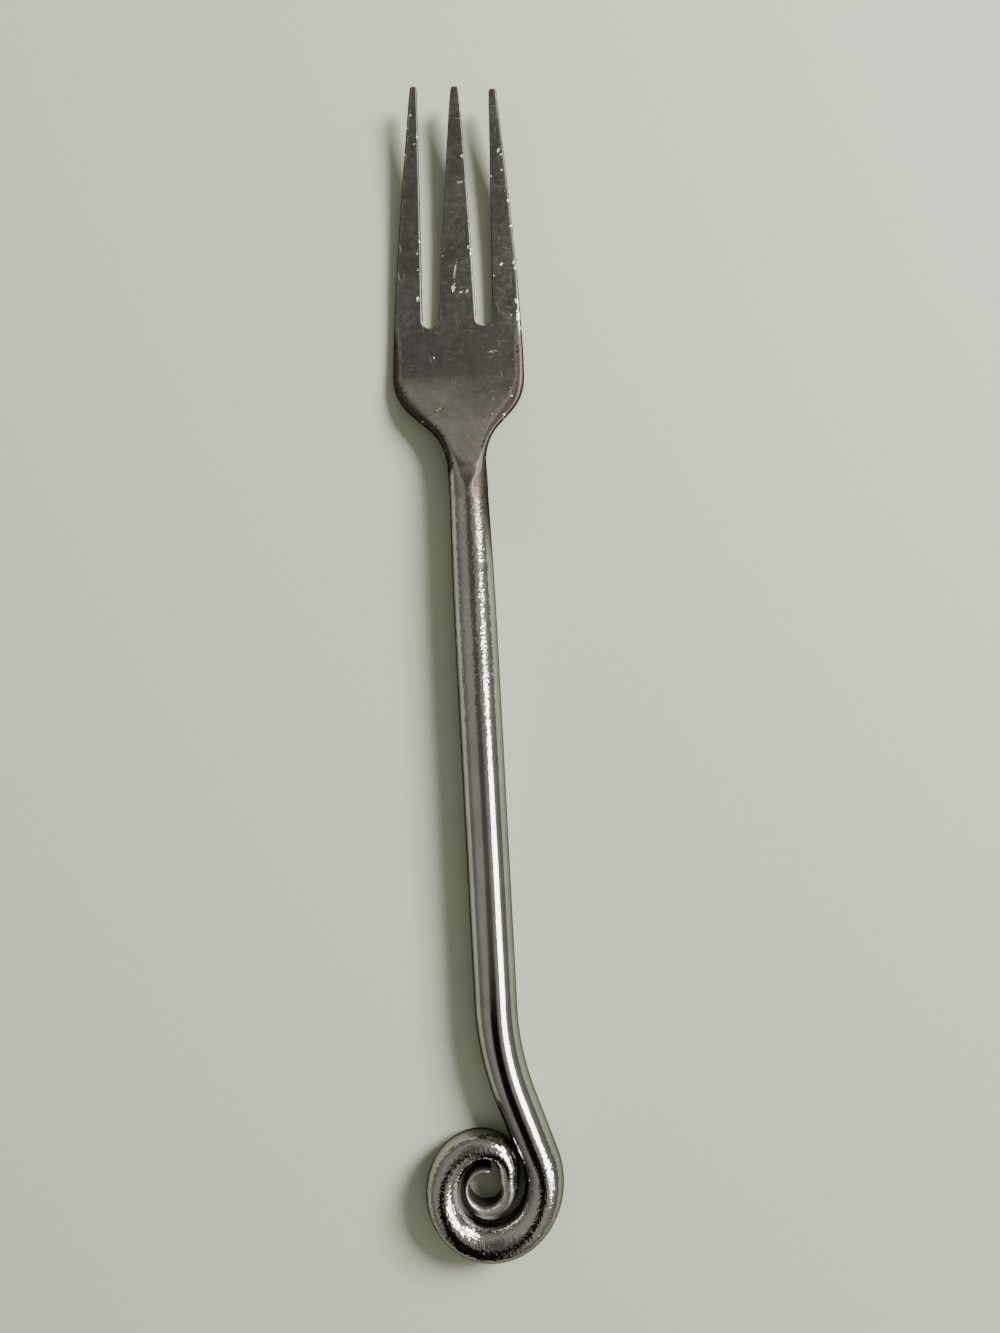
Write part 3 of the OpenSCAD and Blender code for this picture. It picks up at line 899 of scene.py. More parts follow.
def swept_bar_tree():
    """Geometry Nodes that sweep an oval section along the bar's stations, and the inputs' identifiers."""
    tree = bpy.data.node_groups.new("Bar swept along its path", "GeometryNodeTree")
    sockets = {}
    for name, kind in (("Stations", "Geometry"), ("Sides", "Int"), ("Eye Centre", "Vector"),
                       ("Eye Radius", "Float"), ("Unevenness", "Float"), ("Dent Size", "Float"),
                       ("Dressing", "Float"), ("Dressed Length", "Float"), ("Seed", "Int"),
                       ("Steel", "Material")):
        sockets[name] = tree.interface.new_socket(name, in_out="INPUT", socket_type="NodeSocket" + kind)
    tree.interface.new_socket("Bar", in_out="OUTPUT", socket_type="NodeSocketGeometry")
    given = fields(tree.nodes.new("NodeGroupInput"))
    stations, sides = given["Stations"], given["Sides"]

    count = add_field(tree, "GeometryNodeAttributeDomainSize", [("Geometry", stations)], "Point Count",
                      component="MESH")
    round_count = sides + 1.0
    grid = add_field(tree, "GeometryNodeMeshGrid",
                     [("Vertices X", count), ("Vertices Y", round_count)], "Mesh")
    index = add_field(tree, "GeometryNodeInputIndex")
    station = calc("FLOOR", (index + 0.5) / round_count)
    corner = index - station * round_count
    turn = corner / sides * (-2 * math.pi) - math.pi / 2

    def sample(kind, value):
        inputs = [("Geometry", stations), ("Value", value), ("Index", station)]
        return add_field(tree, "GeometryNodeSampleIndex", inputs, "Value", data_type=kind, domain="POINT")

    def named(name, kind):
        return add_field(tree, "GeometryNodeInputNamedAttribute", [("Name", name)], "Attribute",
                         data_type=kind)

    centre = sample("FLOAT_VECTOR", add_field(tree, "GeometryNodeInputPosition"))
    across = sample("FLOAT_VECTOR", named("across", "FLOAT_VECTOR"))
    half_w, half_h, along = (sample("FLOAT", named(name, "FLOAT"))
                             for name in ("half_width", "half_height", "along"))
    aside, lift = half_w * calc("COSINE", turn), half_h * calc("SINE", turn)
    section = vector_calc("ADD", vector_calc("SCALE", across, aside), combine(tree, Z=lift))
    place = vector_calc("ADD", centre, section)

    # The eye's bore dresses the inner turn: points inside it move out to its wall
    from_eye = seen_from_above(place, given["Eye Centre"])
    push = highest(given["Eye Radius"] - size_of(from_eye), 0.0)
    bored = vector_calc("ADD", place, vector_calc("SCALE", vector_calc("NORMALIZE", from_eye), push))

    swept = add_field(tree, "GeometryNodeSetPosition", [("Geometry", grid), ("Position", bored)])
    straight = combine(tree, X=aside, Y=along, Z=lift)
    unrolled = add_field(tree, "GeometryNodeStoreNamedAttribute",
                         [("Geometry", swept), ("Name", "straight_bar"), ("Value", straight)],
                         data_type="FLOAT_VECTOR", domain="POINT")
    closed = add_field(tree, "GeometryNodeMergeByDistance",
                       [("Geometry", unrolled), ("Distance", MERGE_DISTANCE)])

    straight_bar = named("straight_bar", "FLOAT_VECTOR")
    down_bar = split(straight_bar)["Y"]

    def lumps(scale, detail):
        inputs = [("Vector", straight_bar), ("W", given["Seed"]), ("Scale", scale), ("Detail", detail)]
        return add_field(tree, "ShaderNodeTexNoise", inputs, "Fac", noise_dimensions="4D")

    dents = lumps(1.0 / given["Dent Size"], 1.5) * (given["Unevenness"] * -1.0)
    dressed = fade_out(down_bar / given["Dressed Length"], 0.55, 1.0)
    clear_of_weld = remap(down_bar, 1.0 * MM, 6.0 * MM)
    marks = lumps(1 / (1.5 * MM), 1.0) * dressed * (clear_of_weld * given["Dressing"])
    normal = add_field(tree, "GeometryNodeInputNormal", output="Normal")
    offset = vector_calc("SCALE", normal, dents - marks)
    dented = add_field(tree, "GeometryNodeSetPosition", [("Geometry", closed), ("Offset", offset)])
    smooth = add_field(tree, "GeometryNodeSetShadeSmooth", [("Geometry", dented)])
    real = add_field(tree, "GeometryNodeRealizeInstances", [("Geometry", smooth)])
    steel = add_field(tree, "GeometryNodeSetMaterial", [("Geometry", real), ("Material", given["Steel"])])
    put(tree.nodes.new("NodeGroupOutput").inputs["Bar"], steel)
    return tree, {name: socket.identifier for name, socket in sockets.items()}


def shader_group(name, vectors, numbers, outputs):
    """New shader node group; gives the tree, its input fields and its output sockets.

    vectors names the vector inputs, numbers gives each number input its default, and outputs names
    the outputs, which are numbers.
    """
    tree = bpy.data.node_groups.new(name, "ShaderNodeTree")
    for label in vectors:
        tree.interface.new_socket(label, in_out="INPUT", socket_type="NodeSocketVector")
    for label, value in numbers.items():
        socket = tree.interface.new_socket(label, in_out="INPUT", socket_type="NodeSocketFloat")
        socket.default_value = value
    for label in outputs:
        tree.interface.new_socket(label, in_out="OUTPUT", socket_type="NodeSocketFloat")
    return tree, fields(tree.nodes.new("NodeGroupInput")), tree.nodes.new("NodeGroupOutput").inputs


def add_cells(place, scale):
    """Cells of a pattern: the distance from each cell's middle, and three numbers drawn for each cell."""
    cells = fields(add_node(place.tree, "ShaderNodeTexVoronoi", [("Vector", place), ("Scale", scale)],
                            feature="F1", distance="EUCLIDEAN"))
    dice = add_node(place.tree, "ShaderNodeSeparateColor", [(0, cells["Color"])])
    return cells["Distance"], [Field(place.tree, socket) for socket in dice.outputs]


def turned_flat(vector, turn):
    """Vector turned about the upright axis."""
    inputs = [("Vector", vector), ("Angle", turn)]
    return add_field(vector.tree, "ShaderNodeVectorRotate", inputs, rotation_type="Z_AXIS")


def mottle_group():
    """Soft cloudy tone of tumbled steel, and the fine grain in it."""
    tree, given, out = shader_group("Tumbled mottle", ["Vector"],
                                    {"Cloud Size": 6.0, "Spot Size": 1.1, "Grain Size": 0.25},
                                    ["Cloud", "Spots", "Grain"])
    place = given["Vector"]
    put(out["Cloud"], remap(add_noise(place, given["Cloud Size"], 3.0, 0.6, 0.4), 0.32, 0.68))
    put(out["Spots"], remap(add_noise(place, given["Spot Size"], 3.0, 0.65, 0.2), 0.40, 0.72))
    put(out["Grain"], add_noise(place, given["Grain Size"], 2.0, 0.6))
    return tree


def nick_group():
    """Scattered nicks: round spots that only some of the cells of a pattern hold."""
    tree, given, out = shader_group("Scattered nicks", ["Vector"],
                                    {"Spacing": 2.0, "Share": 0.2, "Reach": 0.2}, ["Nick", "Depth"])
    place = given["Vector"]
    wobble = vector_calc("SCALE", (1.0, 0.7, 0.4), add_noise(place, 0.5, 2.0) * (0.4 * MM))
    distance, dice = add_cells(vector_calc("ADD", place, wobble), 1 / MM / given["Spacing"])
    reach = given["Reach"] * remap(dice[1], 0, 1, 0.35, 1.0, "LINEAR")
    nick = fade_out(distance, reach * 0.45, reach) * calc("LESS_THAN", dice[0], given["Share"])
    put(out["Nick"], nick)
    put(out["Depth"], nick * dice[2])
    return tree


def scratch_group():
    """Short scratches: long thin cells of a stretched pattern, of which some hold a scratch."""
    tree, given, out = shader_group("Short scratches", ["Vector"],
                                    {"Turn": 0.0, "Length": 4.0, "Width": 0.5, "Share": 0.3}, ["Scratch"])
    place = given["Vector"]
    bend = vector_calc("SCALE", (0.0, 1.0, 0.0), add_noise(place, 9.0, 1.0) * (1.6 * MM))
    bent = vector_calc("ADD", turned_flat(place, given["Turn"]), bend)
    thin = 1 / MM / given["Width"]
    stretch = combine(tree, X=1 / MM / given["Length"], Y=thin, Z=thin)
    distance, dice = add_cells(vector_calc("MULTIPLY", bent, stretch), 1.0)
    line = fade_out(distance, 0.10, 0.30) * calc("LESS_THAN", dice[0], given["Share"])
    put(out["Scratch"], line * remap(dice[1], 0, 1, 0.25, 1.0, "LINEAR"))
    return tree


def knock_group():
    """One bright knock: a ragged oval at a place of its own."""
    tree, given, out = shader_group("Knock", ["Vector", "Centre"],
                                    {"Turn": 0.0, "Length": 1.0, "Width": 0.3}, ["Knock"])
    place = given["Vector"]
    away = turned_flat(seen_from_above(place, given["Centre"]), given["Turn"])
    shrink = combine(tree, X=2 / MM / given["Length"], Y=2 / MM / given["Width"])
    reach = size_of(vector_calc("MULTIPLY", away, shrink))
    ragged = remap(add_noise(place, 0.3, 2.0, 0.6), 0.3, 0.7, -0.6, 0.6, "LINEAR")
    put(out["Knock"], fade_out(reach + ragged, 0.45, 0.9))
    return tree


def use_group(group, place, **values):
    """Places a group in a material with its own values and gives its outputs."""
    inputs = [("Vector", place)]
    inputs += [(key.replace("_", " ").title(), value) for key, value in values.items()]
    return fields(add_node(place.tree, "ShaderNodeGroup", inputs, node_tree=group))


class SteelGroups:
    """The pattern groups that the steels share, built once."""

    made = None

    @classmethod
    def get(cls):
        if cls.made is None:
            cls.made = SimpleNamespace(mottle=mottle_group(), nick=nick_group(), scratch=scratch_group(),
                                       knock=knock_group())
        return cls.made


def rgba(colour, brightness=1.0):
    return (*(brightness * part for part in colour), 1.0)


def coordinate(tree, name):
    return add_field(tree, "ShaderNodeTexCoord", output=name)


def attribute(tree, name, output):
    return add_field(tree, "ShaderNodeAttribute", (), output, attribute_name=name, attribute_type="GEOMETRY")


def new_material(name):
    """New material, its node tree and its shader."""
    material = bpy.data.materials.new(name)
    material.use_nodes = True
    return material, material.node_tree, material.node_tree.nodes["Principled BSDF"]


def finish_steel(shader, looks, colour, roughness, height, strength, depth_mm):
    """Makes the shader metal and joins a pattern's colour, roughness and height to it."""
    bump = add_field(height.tree, "ShaderNodeBump",
                     [("Strength", strength), ("Distance", depth_mm * MM), ("Height", height)])
    for key, value in (("Metallic", 1.0), ("Specular Tint", rgba(looks.limb)), ("Base Color", colour),
                       ("Roughness", lowest(highest(roughness, 0.06), 0.8)), ("Normal", bump)):
        put(shader.inputs[key], value)


def facing(tree):
    """Which way the surface faces: X to the right, Z up."""
    return split(coordinate(tree, "Normal"))


def heat_stain(tree, near_weld):
    """Painted dark reflection: brown on the neck's right-facing side, which dims the highlight that the
    lights make there.
    """
    return near_weld * remap(facing(tree)["X"], 0.14, 0.30)


def metres(pair):
    return pair[0] * MM, pair[1] * MM


# Where the steel's looks change, in millimetres. On the head, from the weld: the ramp's quiet steel
# gives way to the blade's, and the painted dark reflection on the right-facing side ends
BLADE_STARTS = (23, 34)
HEAD_STAIN_ENDS = (9, 14)
# Along the bar, from the weld: the painted dark reflection on the right-facing side ends, the dressing
# marks end, the scuffs of rolling start
BAR_STAIN_ENDS = (2, 14)
DRESSING_ENDS = (30, 52)
ROLLING_STARTS = (106, 124)
# The scroll's last turn, from the eye's middle, and the heights above the table over which the
# scroll's painted shade fades out
LAST_TURN_ENDS = (4.4, 5.6)
RECESS_ENDS = (2.4, 4.1)

# Knocks in the head's face: place from the weld (right, along), turn in degrees, length and width in
# millimetres, and how bare the metal is
HEAD_KNOCKS = (
    (-7.0, 34.9, 80, 1.0, 0.6, 0.9), (-0.8, 36.4, 78, 1.5, 0.65, 0.9), (0.4, 35.7, 30, 0.6, 0.4, 0.7),
    (1.5, 35.8, 45, 0.6, 0.45, 0.7), (-0.3, 39.7, 80, 4.2, 0.35, 0.4), (2.05, 43.3, 60, 0.6, 0.35, 0.7),
    (2.6, 42.4, 70, 0.7, 0.35, 0.6), (1.9, 58.6, 20, 0.6, 0.5, 0.8), (1.5, 54.3, 15, 1.3, 0.3, 0.6),
    (8.3, 59.2, 62, 1.2, 0.4, 0.7), (8.6, 58.5, 30, 0.7, 0.35, 0.7), (8.7, 55.9, 60, 0.5, 0.3, 0.5),
    (7.7, 40.1, 50, 0.6, 0.5, 0.8), (9.9, 40.4, 78, 0.9, 0.35, 0.8), (10.1, 39.4, 80, 0.8, 0.4, 0.7),
    (10.1, 33.6, 118, 1.5, 0.55, 1.0), (10.2, 31.0, 88, 2.2, 0.7, 1.0), (10.4, 29.0, 60, 0.7, 0.5, 0.6),
    (5.4, 25.1, 12, 2.3, 0.5, 0.35), (5.1, 24.2, 14, 1.5, 0.35, 0.25), (-4.4, 15.0, 35, 1.0, 0.3, 0.5),
    (-6.7, 42.8, 70, 0.7, 0.35, 0.5), (-6.75, 40.0, 60, 0.6, 0.35, 0.5), (-6.1, 60.9, 10, 0.6, 0.3, 0.5),
)


def head_steel(looks):
    """Tumbled grey steel of the head: dull patches, bright nicks, dark pits in the rolled edges, painted
    shade along the edges and a painted dark reflection on the throat's right-facing side.
    """
    groups = SteelGroups.get()
    material, tree, shader = new_material("head_steel")
    place = coordinate(tree, "Object")
    edge, rolled = attribute(tree, "edge_near", "Fac"), attribute(tree, "rolled_edge", "Fac")
    from_weld = split(place)["Y"] - WELD_Y * MM
    blade = remap(from_weld, *metres(BLADE_STARTS), 0.3, 1.0)
    mottle = use_group(groups.mottle, place, cloud_size=5.0, spot_size=0.9, grain_size=0.22)
    spots, patch = mottle["Spots"] * blade, mottle["Cloud"] * blade

    face_nick = use_group(groups.nick, place, spacing=2.0, share=0.14, reach=0.11)
    edge_share = remap(edge, 0.3, 0.95, 0.0, 0.6) * remap(add_noise(place, 3.5, 1.0), 0.45, 0.62)
    edge_nick = use_group(groups.nick, place, spacing=0.7, share=edge_share, reach=0.42)
    nick = highest(face_nick["Nick"], edge_nick["Nick"])
    for right, along, turn, long_side, short_side, bareness in HEAD_KNOCKS:
        centre = ((AXIS_X + right) * MM, (WELD_Y + along) * MM, 0.0)
        knock = use_group(groups.knock, place, centre=centre, turn=-math.radians(turn), length=long_side,
                          width=short_side)
        nick = highest(nick, knock["Knock"] * bareness)
    cross = use_group(groups.scratch, place, turn=0.25, length=3.0, width=0.30, share=0.22)
    lengthwise = use_group(groups.scratch, place, turn=1.35, length=5.0, width=0.34, share=0.20)
    scratch = highest(cross["Scratch"], lengthwise["Scratch"])
    pit_share = remap(rolled, 0.05, 0.7, 0.0, 0.8)
    pit = use_group(groups.nick, place, spacing=0.7, share=pit_share, reach=0.55)["Nick"]

    speckle = mottle["Cloud"] * 0.5 + mottle["Spots"] * 0.3 + remap(mottle["Grain"], 0.38, 0.62, 0.0, 0.3)
    tone = blend(speckle, rgba(looks.dark_steel), rgba(looks.light_steel))
    # Painted shade: the rolled edges of the throat and shoulders and the outer edges are darkened towards the
    # brown colour, along with the real pits in them.
    film = remap(rolled, 0.15, 0.6, 0.0, 0.95) + pit * 0.6
    film = lowest(highest(film, remap(edge, 0.55, 0.95, 0.0, 0.95)), 1.0)
    # Painted dark reflection: the throat's right-facing side is darkened to dim the highlight that the lights
    # make there.
    film = highest(film, heat_stain(tree, fade_out(from_weld, *metres(HEAD_STAIN_ENDS), 0.97)))
    tone = blend(film, tone, rgba(looks.brown_film))
    bare = lowest(nick + scratch * (blade * 0.26), 1.0)
    colour = blend(bare, tone, rgba(looks.bright_nick))
    roughness = (spots * 0.06 + patch * 0.03 + nick * 0.24 + scratch * 0.14 + film * 0.36
                 + looks.head_gloss)
    height = mottle["Grain"] * 0.16 + spots * 0.12 - nick * 1.2 - scratch * 0.3 - pit * 0.5
    finish_steel(shader, looks, colour, roughness, height, 0.8, 0.035)
    return material


def bar_steel(looks, eye):
    """Polished steel of the bar, rough near the weld and scuffed on the scroll round its eye, with painted
    shade low in the scroll and round the eye and a painted dark reflection beside the weld.
    """
    groups = SteelGroups.get()
    material, tree, shader = new_material("bar_steel")
    place, spot = attribute(tree, "straight_bar", "Vector"), coordinate(tree, "Object")
    down_bar = split(place)["Y"]
    dressed = fade_out(down_bar, *metres(DRESSING_ENDS))
    rolled = remap(down_bar, *metres(ROLLING_STARTS))
    worked = highest(dressed, rolled * 0.7)
    mottle = use_group(groups.mottle, place, cloud_size=9.0, spot_size=0.8, grain_size=0.35)
    nick = use_group(groups.nick, place, spacing=1.2, share=remap(worked, 0, 1, 0.04, 0.30), reach=0.22)
    lengthwise = use_group(groups.scratch, place, turn=math.pi / 2, length=7.0, width=0.4,
                           share=remap(rolled, 0, 1, 0.12, 0.45))
    slanted = use_group(groups.scratch, place, turn=1.1, length=4.0, width=0.4, share=0.06)
    scratch = highest(lengthwise["Scratch"], slanted["Scratch"])

    # Painted shade: the scroll is darkened low down near the table and on the steep walls of its last turn
    # round the eye.
    last_turn = fade_out(size_of(seen_from_above(spot, eye)), *metres(LAST_TURN_ENDS)) * rolled
    wall = fade_out(facing(tree)["Z"], 0.15, 0.4)
    low = fade_out(split(spot)["Z"], *metres(RECESS_ENDS), 0.95)
    recess = highest(low, wall * last_turn * 0.95) * rolled
    # Painted dark reflection: the right-facing side next to the weld is darkened to dim the highlight that
    # the lights make there.
    stain = heat_stain(tree, fade_out(down_bar, *metres(BAR_STAIN_ENDS), 0.9))
    tone = blend(mottle["Cloud"] * 0.5, rgba(looks.light_steel), rgba(looks.dark_steel))
    tone = blend(highest(recess, stain), tone, rgba(looks.brown_film))
    colour = blend(nick["Nick"] * 0.5, tone, rgba(looks.bright_nick))
    roughness = (mottle["Spots"] * 0.05 + nick["Nick"] * 0.10 + recess * 0.3 + last_turn * 0.28
                 + stain * 0.22 + scratch * 0.08 + worked * 0.03 + looks.bar_gloss)
    lumps = add_noise(place, 0.8, 0.0) * (dressed * 1.3 + rolled * 1.2 + 0.1)
    fine = add_noise(place, 0.38, 0.0) * (dressed * 1.1 + rolled * 1.5 + 0.05)
    height = lumps + fine - nick["Depth"] * 0.8 - scratch * remap(rolled, 0, 1, 0.15, 0.6)
    finish_steel(shader, looks, colour, roughness, height, 0.8, 0.04)
    return material


def weld_steel(looks):
    """Ground weld metal: darker, with file marks across and small pits, and a painted dark reflection on its
    right-facing side.
    """
    groups = SteelGroups.get()
    material, tree, shader = new_material("weld_steel")
    place = coordinate(tree, "Object")
    mottle = use_group(groups.mottle, place, cloud_size=3.0, spot_size=0.7, grain_size=0.2)
    pit = use_group(groups.nick, place, spacing=0.9, share=0.35, reach=0.35)["Nick"]
    file_mark = use_group(groups.scratch, place, turn=0.1, length=3.0, width=0.22, share=0.5)["Scratch"]
    # Painted dark reflection: the right-facing side is darkened to dim the highlight that the lights make
    # there.
    stain = heat_stain(tree, 0.95)
    tone = blend(mottle["Cloud"], rgba(looks.dark_steel), rgba(looks.light_steel))
    tone = blend(stain, tone, rgba(looks.brown_film))
    colour = blend(pit * 0.75, tone, rgba(looks.dark_steel, 0.35))
    roughness = mottle["Spots"] * 0.10 + file_mark * 0.12 + stain * 0.2 + looks.weld_gloss
    height = mottle["Spots"] * 0.5 - pit * 0.8 - file_mark * 0.35
    finish_steel(shader, looks, colour, roughness, height, 0.7, 0.03)
    return material


class FORK_OT_head(bpy.types.Operator):
    """Build the flat head with its three tines, ramp and neck"""

    bl_idname = "fork.head"
    bl_label = "Fork head"

    def execute(self, context):
        scene = context.scene
        sheets = HeadMesh(HeadForm(in_mm(scene.fork_head), in_mm(scene.fork_neck)))
        piece = new_piece("fork_head_steel", sheets.points, sheets.faces,
                          {"edge_near": sheets.edge_near, "rolled_edge": sheets.rolled_edge})
        piece.data.materials.append(head_steel(scene.fork_steel))
        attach(piece, "root")
        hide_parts("fork_head")
        return {"FINISHED"}


class FORK_OT_bar(bpy.types.Operator):
    """Sweep the round bar from the weld to the tip of the scroll"""

    bl_idname = "fork.bar"
    bl_label = "Handle bar"

    def execute(self, context):
        sizes = context.scene.fork_bar
        path = BarPath(in_mm(sizes), in_mm(context.scene.fork_neck))
        piece = self.path_piece(path.stations)
        eye = ((path.eye[0] + AXIS_X) * MM, (path.eye[1] + WELD_Y) * MM, 0.0)
        tree, sockets = swept_bar_tree()
        modifier = piece.modifiers.new("Bar", "NODES")
        modifier.node_group = tree
        for name, value in (("Sides", sizes.sides), ("Eye Centre", eye), ("Eye Radius", sizes.eye_d / 2),
                            ("Unevenness", sizes.unevenness), ("Dent Size", sizes.dent_size),
                            ("Dressing", sizes.dressing), ("Dressed Length", sizes.dressed_len),
                            ("Seed", sizes.seed), ("Steel", bar_steel(context.scene.fork_steel, eye))):
            modifier[sockets[name]] = value
        graph = context.evaluated_depsgraph_get()
        swept = piece.evaluated_get(graph)
        mesh = bpy.data.meshes.new_from_object(swept, preserve_all_data_layers=True, depsgraph=graph)
        piece.modifiers.clear()
        piece.data = mesh
        mesh.name = "handle_bar_steel"
        close_mesh(mesh)
        if len(mesh.polygons) < len(path.stations):
            raise RuntimeError("the bar was not swept")
        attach(piece, "root")
        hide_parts("handle_bar")
        return {"FINISHED"}

    def path_piece(self, rows):
        """Line of stations that carries each section's direction and size."""
        spots = rows[:, :3] + np.array([AXIS_X, WELD_Y, 0])
        gaps = np.linalg.norm(np.diff(spots, axis=0), axis=1)
        mesh = bpy.data.meshes.new("handle_bar_path")
        mesh.from_pydata([tuple(p * MM) for p in spots], [(i, i + 1) for i in range(len(spots) - 1)], [])
        set_values(mesh, {"half_width": rows[:, 5] * MM, "half_height": rows[:, 6] * MM,
                          "along": np.concatenate([[0], np.cumsum(gaps)]) * MM})
        aside = np.column_stack([rows[:, 3], rows[:, 4], np.zeros(len(rows))]).astype(np.float32)
        mesh.attributes.new("across", "FLOAT_VECTOR", "POINT").data.foreach_set("vector", aside.ravel())
        return new_object("handle_bar_steel", mesh)


class FORK_OT_weld(bpy.types.Operator):
    """Turn the ring of weld metal that fills the groove at the neck"""

    bl_idname = "fork.weld"
    bl_label = "Neck weld"

    around, across = 120, 12
    # Depth of the ripples in the weld's face, and how far the noise goes round it and along it
    ripple_mm, ripples_round, ripple_len = 0.035, 2.2, 0.7

    def execute(self, context):
        scene = context.scene
        neck = in_mm(scene.fork_neck)
        points, faces = [], []
        for i in range(self.around):
            turn = 2 * math.pi * i / self.around
            for r, y in self.profile(neck, turn):
                x, z = AXIS_X + r * math.cos(turn), neck.bar_d / 2 + r * math.sin(turn)
                points.append((x * MM, (WELD_Y + y) * MM, z * MM))
        count = len(points) // self.around
        for i in range(self.around):
            here, after = i * count, (i + 1) % self.around * count
            for j in range(count):
                k = (j + 1) % count
                faces.append((here + j, after + j, after + k, here + k))
        piece = new_piece("neck_weld_steel", points, faces, {})
        piece.data.materials.append(weld_steel(scene.fork_steel))
        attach(piece, "root")
        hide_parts("neck_weld")
        return {"FINISHED"}

    def profile(self, neck, turn):
        """Section of the ring at a turn: radius and place along the neck."""
        radius = neck.neck_d / 2 - neck.skin_in
        root = radius - neck.groove_depth
        near_rim = CONE_STEPS[1]
        cone = mix(root, radius, near_rim), near_rim * neck.groove_half
        spots = [(root, 0.0), (cone[0], -cone[1])]
        for j in range(self.across + 1):
            side = 2 * j / self.across - 1
            y = neck.groove_half * side * (1.5 - 0.5 * side * side)
            low = 0.5 + 0.5 * hash_noise(self.ripples_round * math.cos(turn),
                                         self.ripples_round * math.sin(turn), y / self.ripple_len)
            spots.append((radius - self.ripple_mm * (1 - side * side) * low, y))
        return spots + [cone]


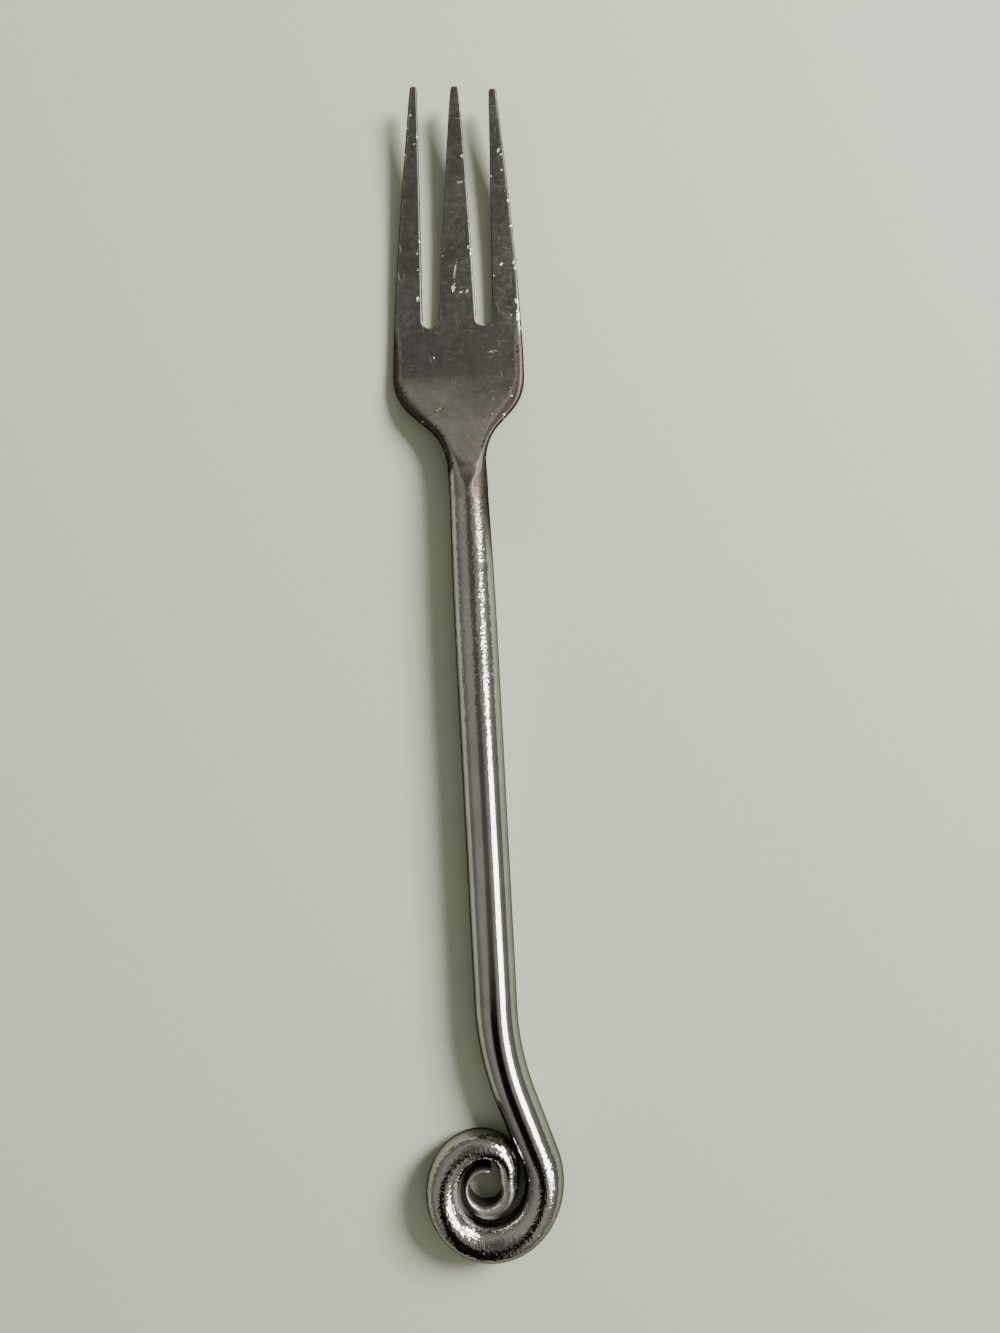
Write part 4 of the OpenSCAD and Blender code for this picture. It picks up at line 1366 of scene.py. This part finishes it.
class FORK_OT_stage(bpy.types.Operator):
    """Lay the plain pale floor, set the soft lights and place the camera"""

    bl_idname = "fork.stage"
    bl_label = "Stage"

    # The room by the direction that its light comes from: where the wall grows light, then its dark
    # patches, each with where it ends along the fork, its middle to the left and where it ends beside it
    wall_rises = (0.15, 0.62)
    dark_patches = (("overhead", (0.45, 0.85), 0.12, (0.14, 0.36)),
                    ("near_side", (-0.37, -0.24), 0.2, (0.2, 0.38)))

    def execute(self, context):
        stage = context.scene.fork_stage
        self.floor(stage)
        context.scene.world = self.room(stage)
        self.lights(stage)
        context.scene.camera = self.camera(stage)
        return {"FINISHED"}

    def floor(self, stage):
        half = stage.floor_size / 2
        corners = [(-half, -half, 0), (half, -half, 0), (half, half, 0), (-half, half, 0)]
        mesh = bpy.data.meshes.new("floor")
        mesh.from_pydata(corners, [], [(0, 1, 2, 3)])
        material, tree, shader = new_material("floor_paper")
        fibre = remap(add_noise(coordinate(tree, "Object"), 1.2, 3.0), 0.3, 0.7)
        colour = blend(fibre, rgba(stage.floor_colour, 0.985), rgba(stage.floor_colour))
        for key, value in (("Roughness", 0.75), ("Specular IOR Level", 0.2), ("Base Color", colour)):
            put(shader.inputs[key], value)
        mesh.materials.append(material)
        new_object("floor", mesh)

    def room(self, stage):
        """Dim room: dark overhead and at the foot of the picture, lightest halfway up the other walls."""
        world = bpy.data.worlds.new("room")
        world.use_nodes = True
        tree = world.node_tree
        axes = split(coordinate(tree, "Generated"))
        light = blend(remap(axes["Z"], *self.wall_rises), rgba(stage.low_wall), rgba(stage.ring))
        for name, along_ends, middle, aside_ends in self.dark_patches:
            aside = calc("ABSOLUTE", axes["X"] + middle)
            patch = fade_out(axes["Y"], *along_ends) * fade_out(aside, *aside_ends)
            light = blend(patch, light, rgba(getattr(stage, name)))
        put(tree.nodes["Background"].inputs["Color"], light)
        return world

    def lights(self, stage):
        """Soft box at the upper right, and a long strip that the bar mirrors as one bright line."""
        tilt, azimuth = stage.key_tilt, stage.key_azimuth
        aim = Vector((math.sin(tilt) * math.cos(azimuth), math.sin(tilt) * math.sin(azimuth), math.cos(tilt)))
        self.area_light("soft_box", "RECTANGLE", aim * stage.key_distance,
                        aim.to_track_quat("Z", "Y").to_euler(), stage.key_side, stage.key_side,
                        stage.key_power)
        tilt, away = stage.strip_tilt, stage.strip_distance
        place = Vector((math.sin(tilt) * away, stage.strip_shift, math.cos(tilt) * away))
        strip = self.area_light("strip", "ELLIPSE", place, (tilt, 0, math.pi / 2), stage.strip_long,
                                stage.strip_short, stage.strip_power)
        # The strip is there for the fork to mirror, and leaves the floor to the soft box
        mirrored = bpy.data.collections.new("mirrored_in_strip")
        for name in ("fork_head_steel", "handle_bar_steel", "neck_weld_steel"):
            mirrored.objects.link(bpy.data.objects[name])
        strip.light_linking.receiver_collection = mirrored

    def area_light(self, name, shape, place, turn, long_side, short_side, watts):
        data = bpy.data.lights.new(name, "AREA")
        data.shape = shape
        data.size, data.size_y = long_side, short_side
        data.energy = watts
        light = new_object(name, data)
        light.location = place
        light.rotation_euler = turn
        return light

    def camera(self, stage):
        data = bpy.data.cameras.new("camera")
        data.lens = data.sensor_width / 2 / math.tan(stage.half_view)
        data.clip_start = 5 * MM
        camera = new_object("camera", data)
        camera.location = (stage.camera_x + AXIS_X * MM, stage.camera_y + WELD_Y * MM, stage.camera_height)
        camera.rotation_euler = (0, 0, stage.camera_turn)
        return camera


class FORK_PT_sidebar(bpy.types.Panel):
    """Lists the fork's pieces and its stage"""

    bl_idname = "FORK_PT_sidebar"
    bl_label = "Dinner fork"
    bl_space_type = "VIEW_3D"
    bl_region_type = "UI"
    bl_category = "Fork"

    def draw(self, context):
        scene = context.scene
        for operator, group in ((FORK_OT_head, scene.fork_head), (FORK_OT_bar, scene.fork_bar),
                                (FORK_OT_weld, scene.fork_neck), (FORK_OT_stage, scene.fork_stage)):
            box = self.layout.box()
            box.operator(operator.bl_idname)
            for prop in own_properties(group):
                box.prop(group, prop.identifier)


SIZE_GROUPS = {"fork_neck": NeckSizes, "fork_head": HeadSizes, "fork_bar": BarSizes,
               "fork_steel": SteelLooks, "fork_stage": StageSizes}
CLASSES = (*SIZE_GROUPS.values(), FORK_OT_head, FORK_OT_bar, FORK_OT_weld, FORK_OT_stage, FORK_PT_sidebar)


def register():
    for made in CLASSES:
        bpy.utils.register_class(made)
    for key, group in SIZE_GROUPS.items():
        setattr(bpy.types.Scene, key, bpy.props.PointerProperty(type=group))


def unregister():
    for key in SIZE_GROUPS:
        delattr(bpy.types.Scene, key)
    for made in reversed(CLASSES):
        bpy.utils.unregister_class(made)


def main():
    register()
    bpy.ops.fork.head()
    bpy.ops.fork.bar()
    bpy.ops.fork.weld()
    bpy.ops.fork.stage()


if __name__ == "__main__":
    main()
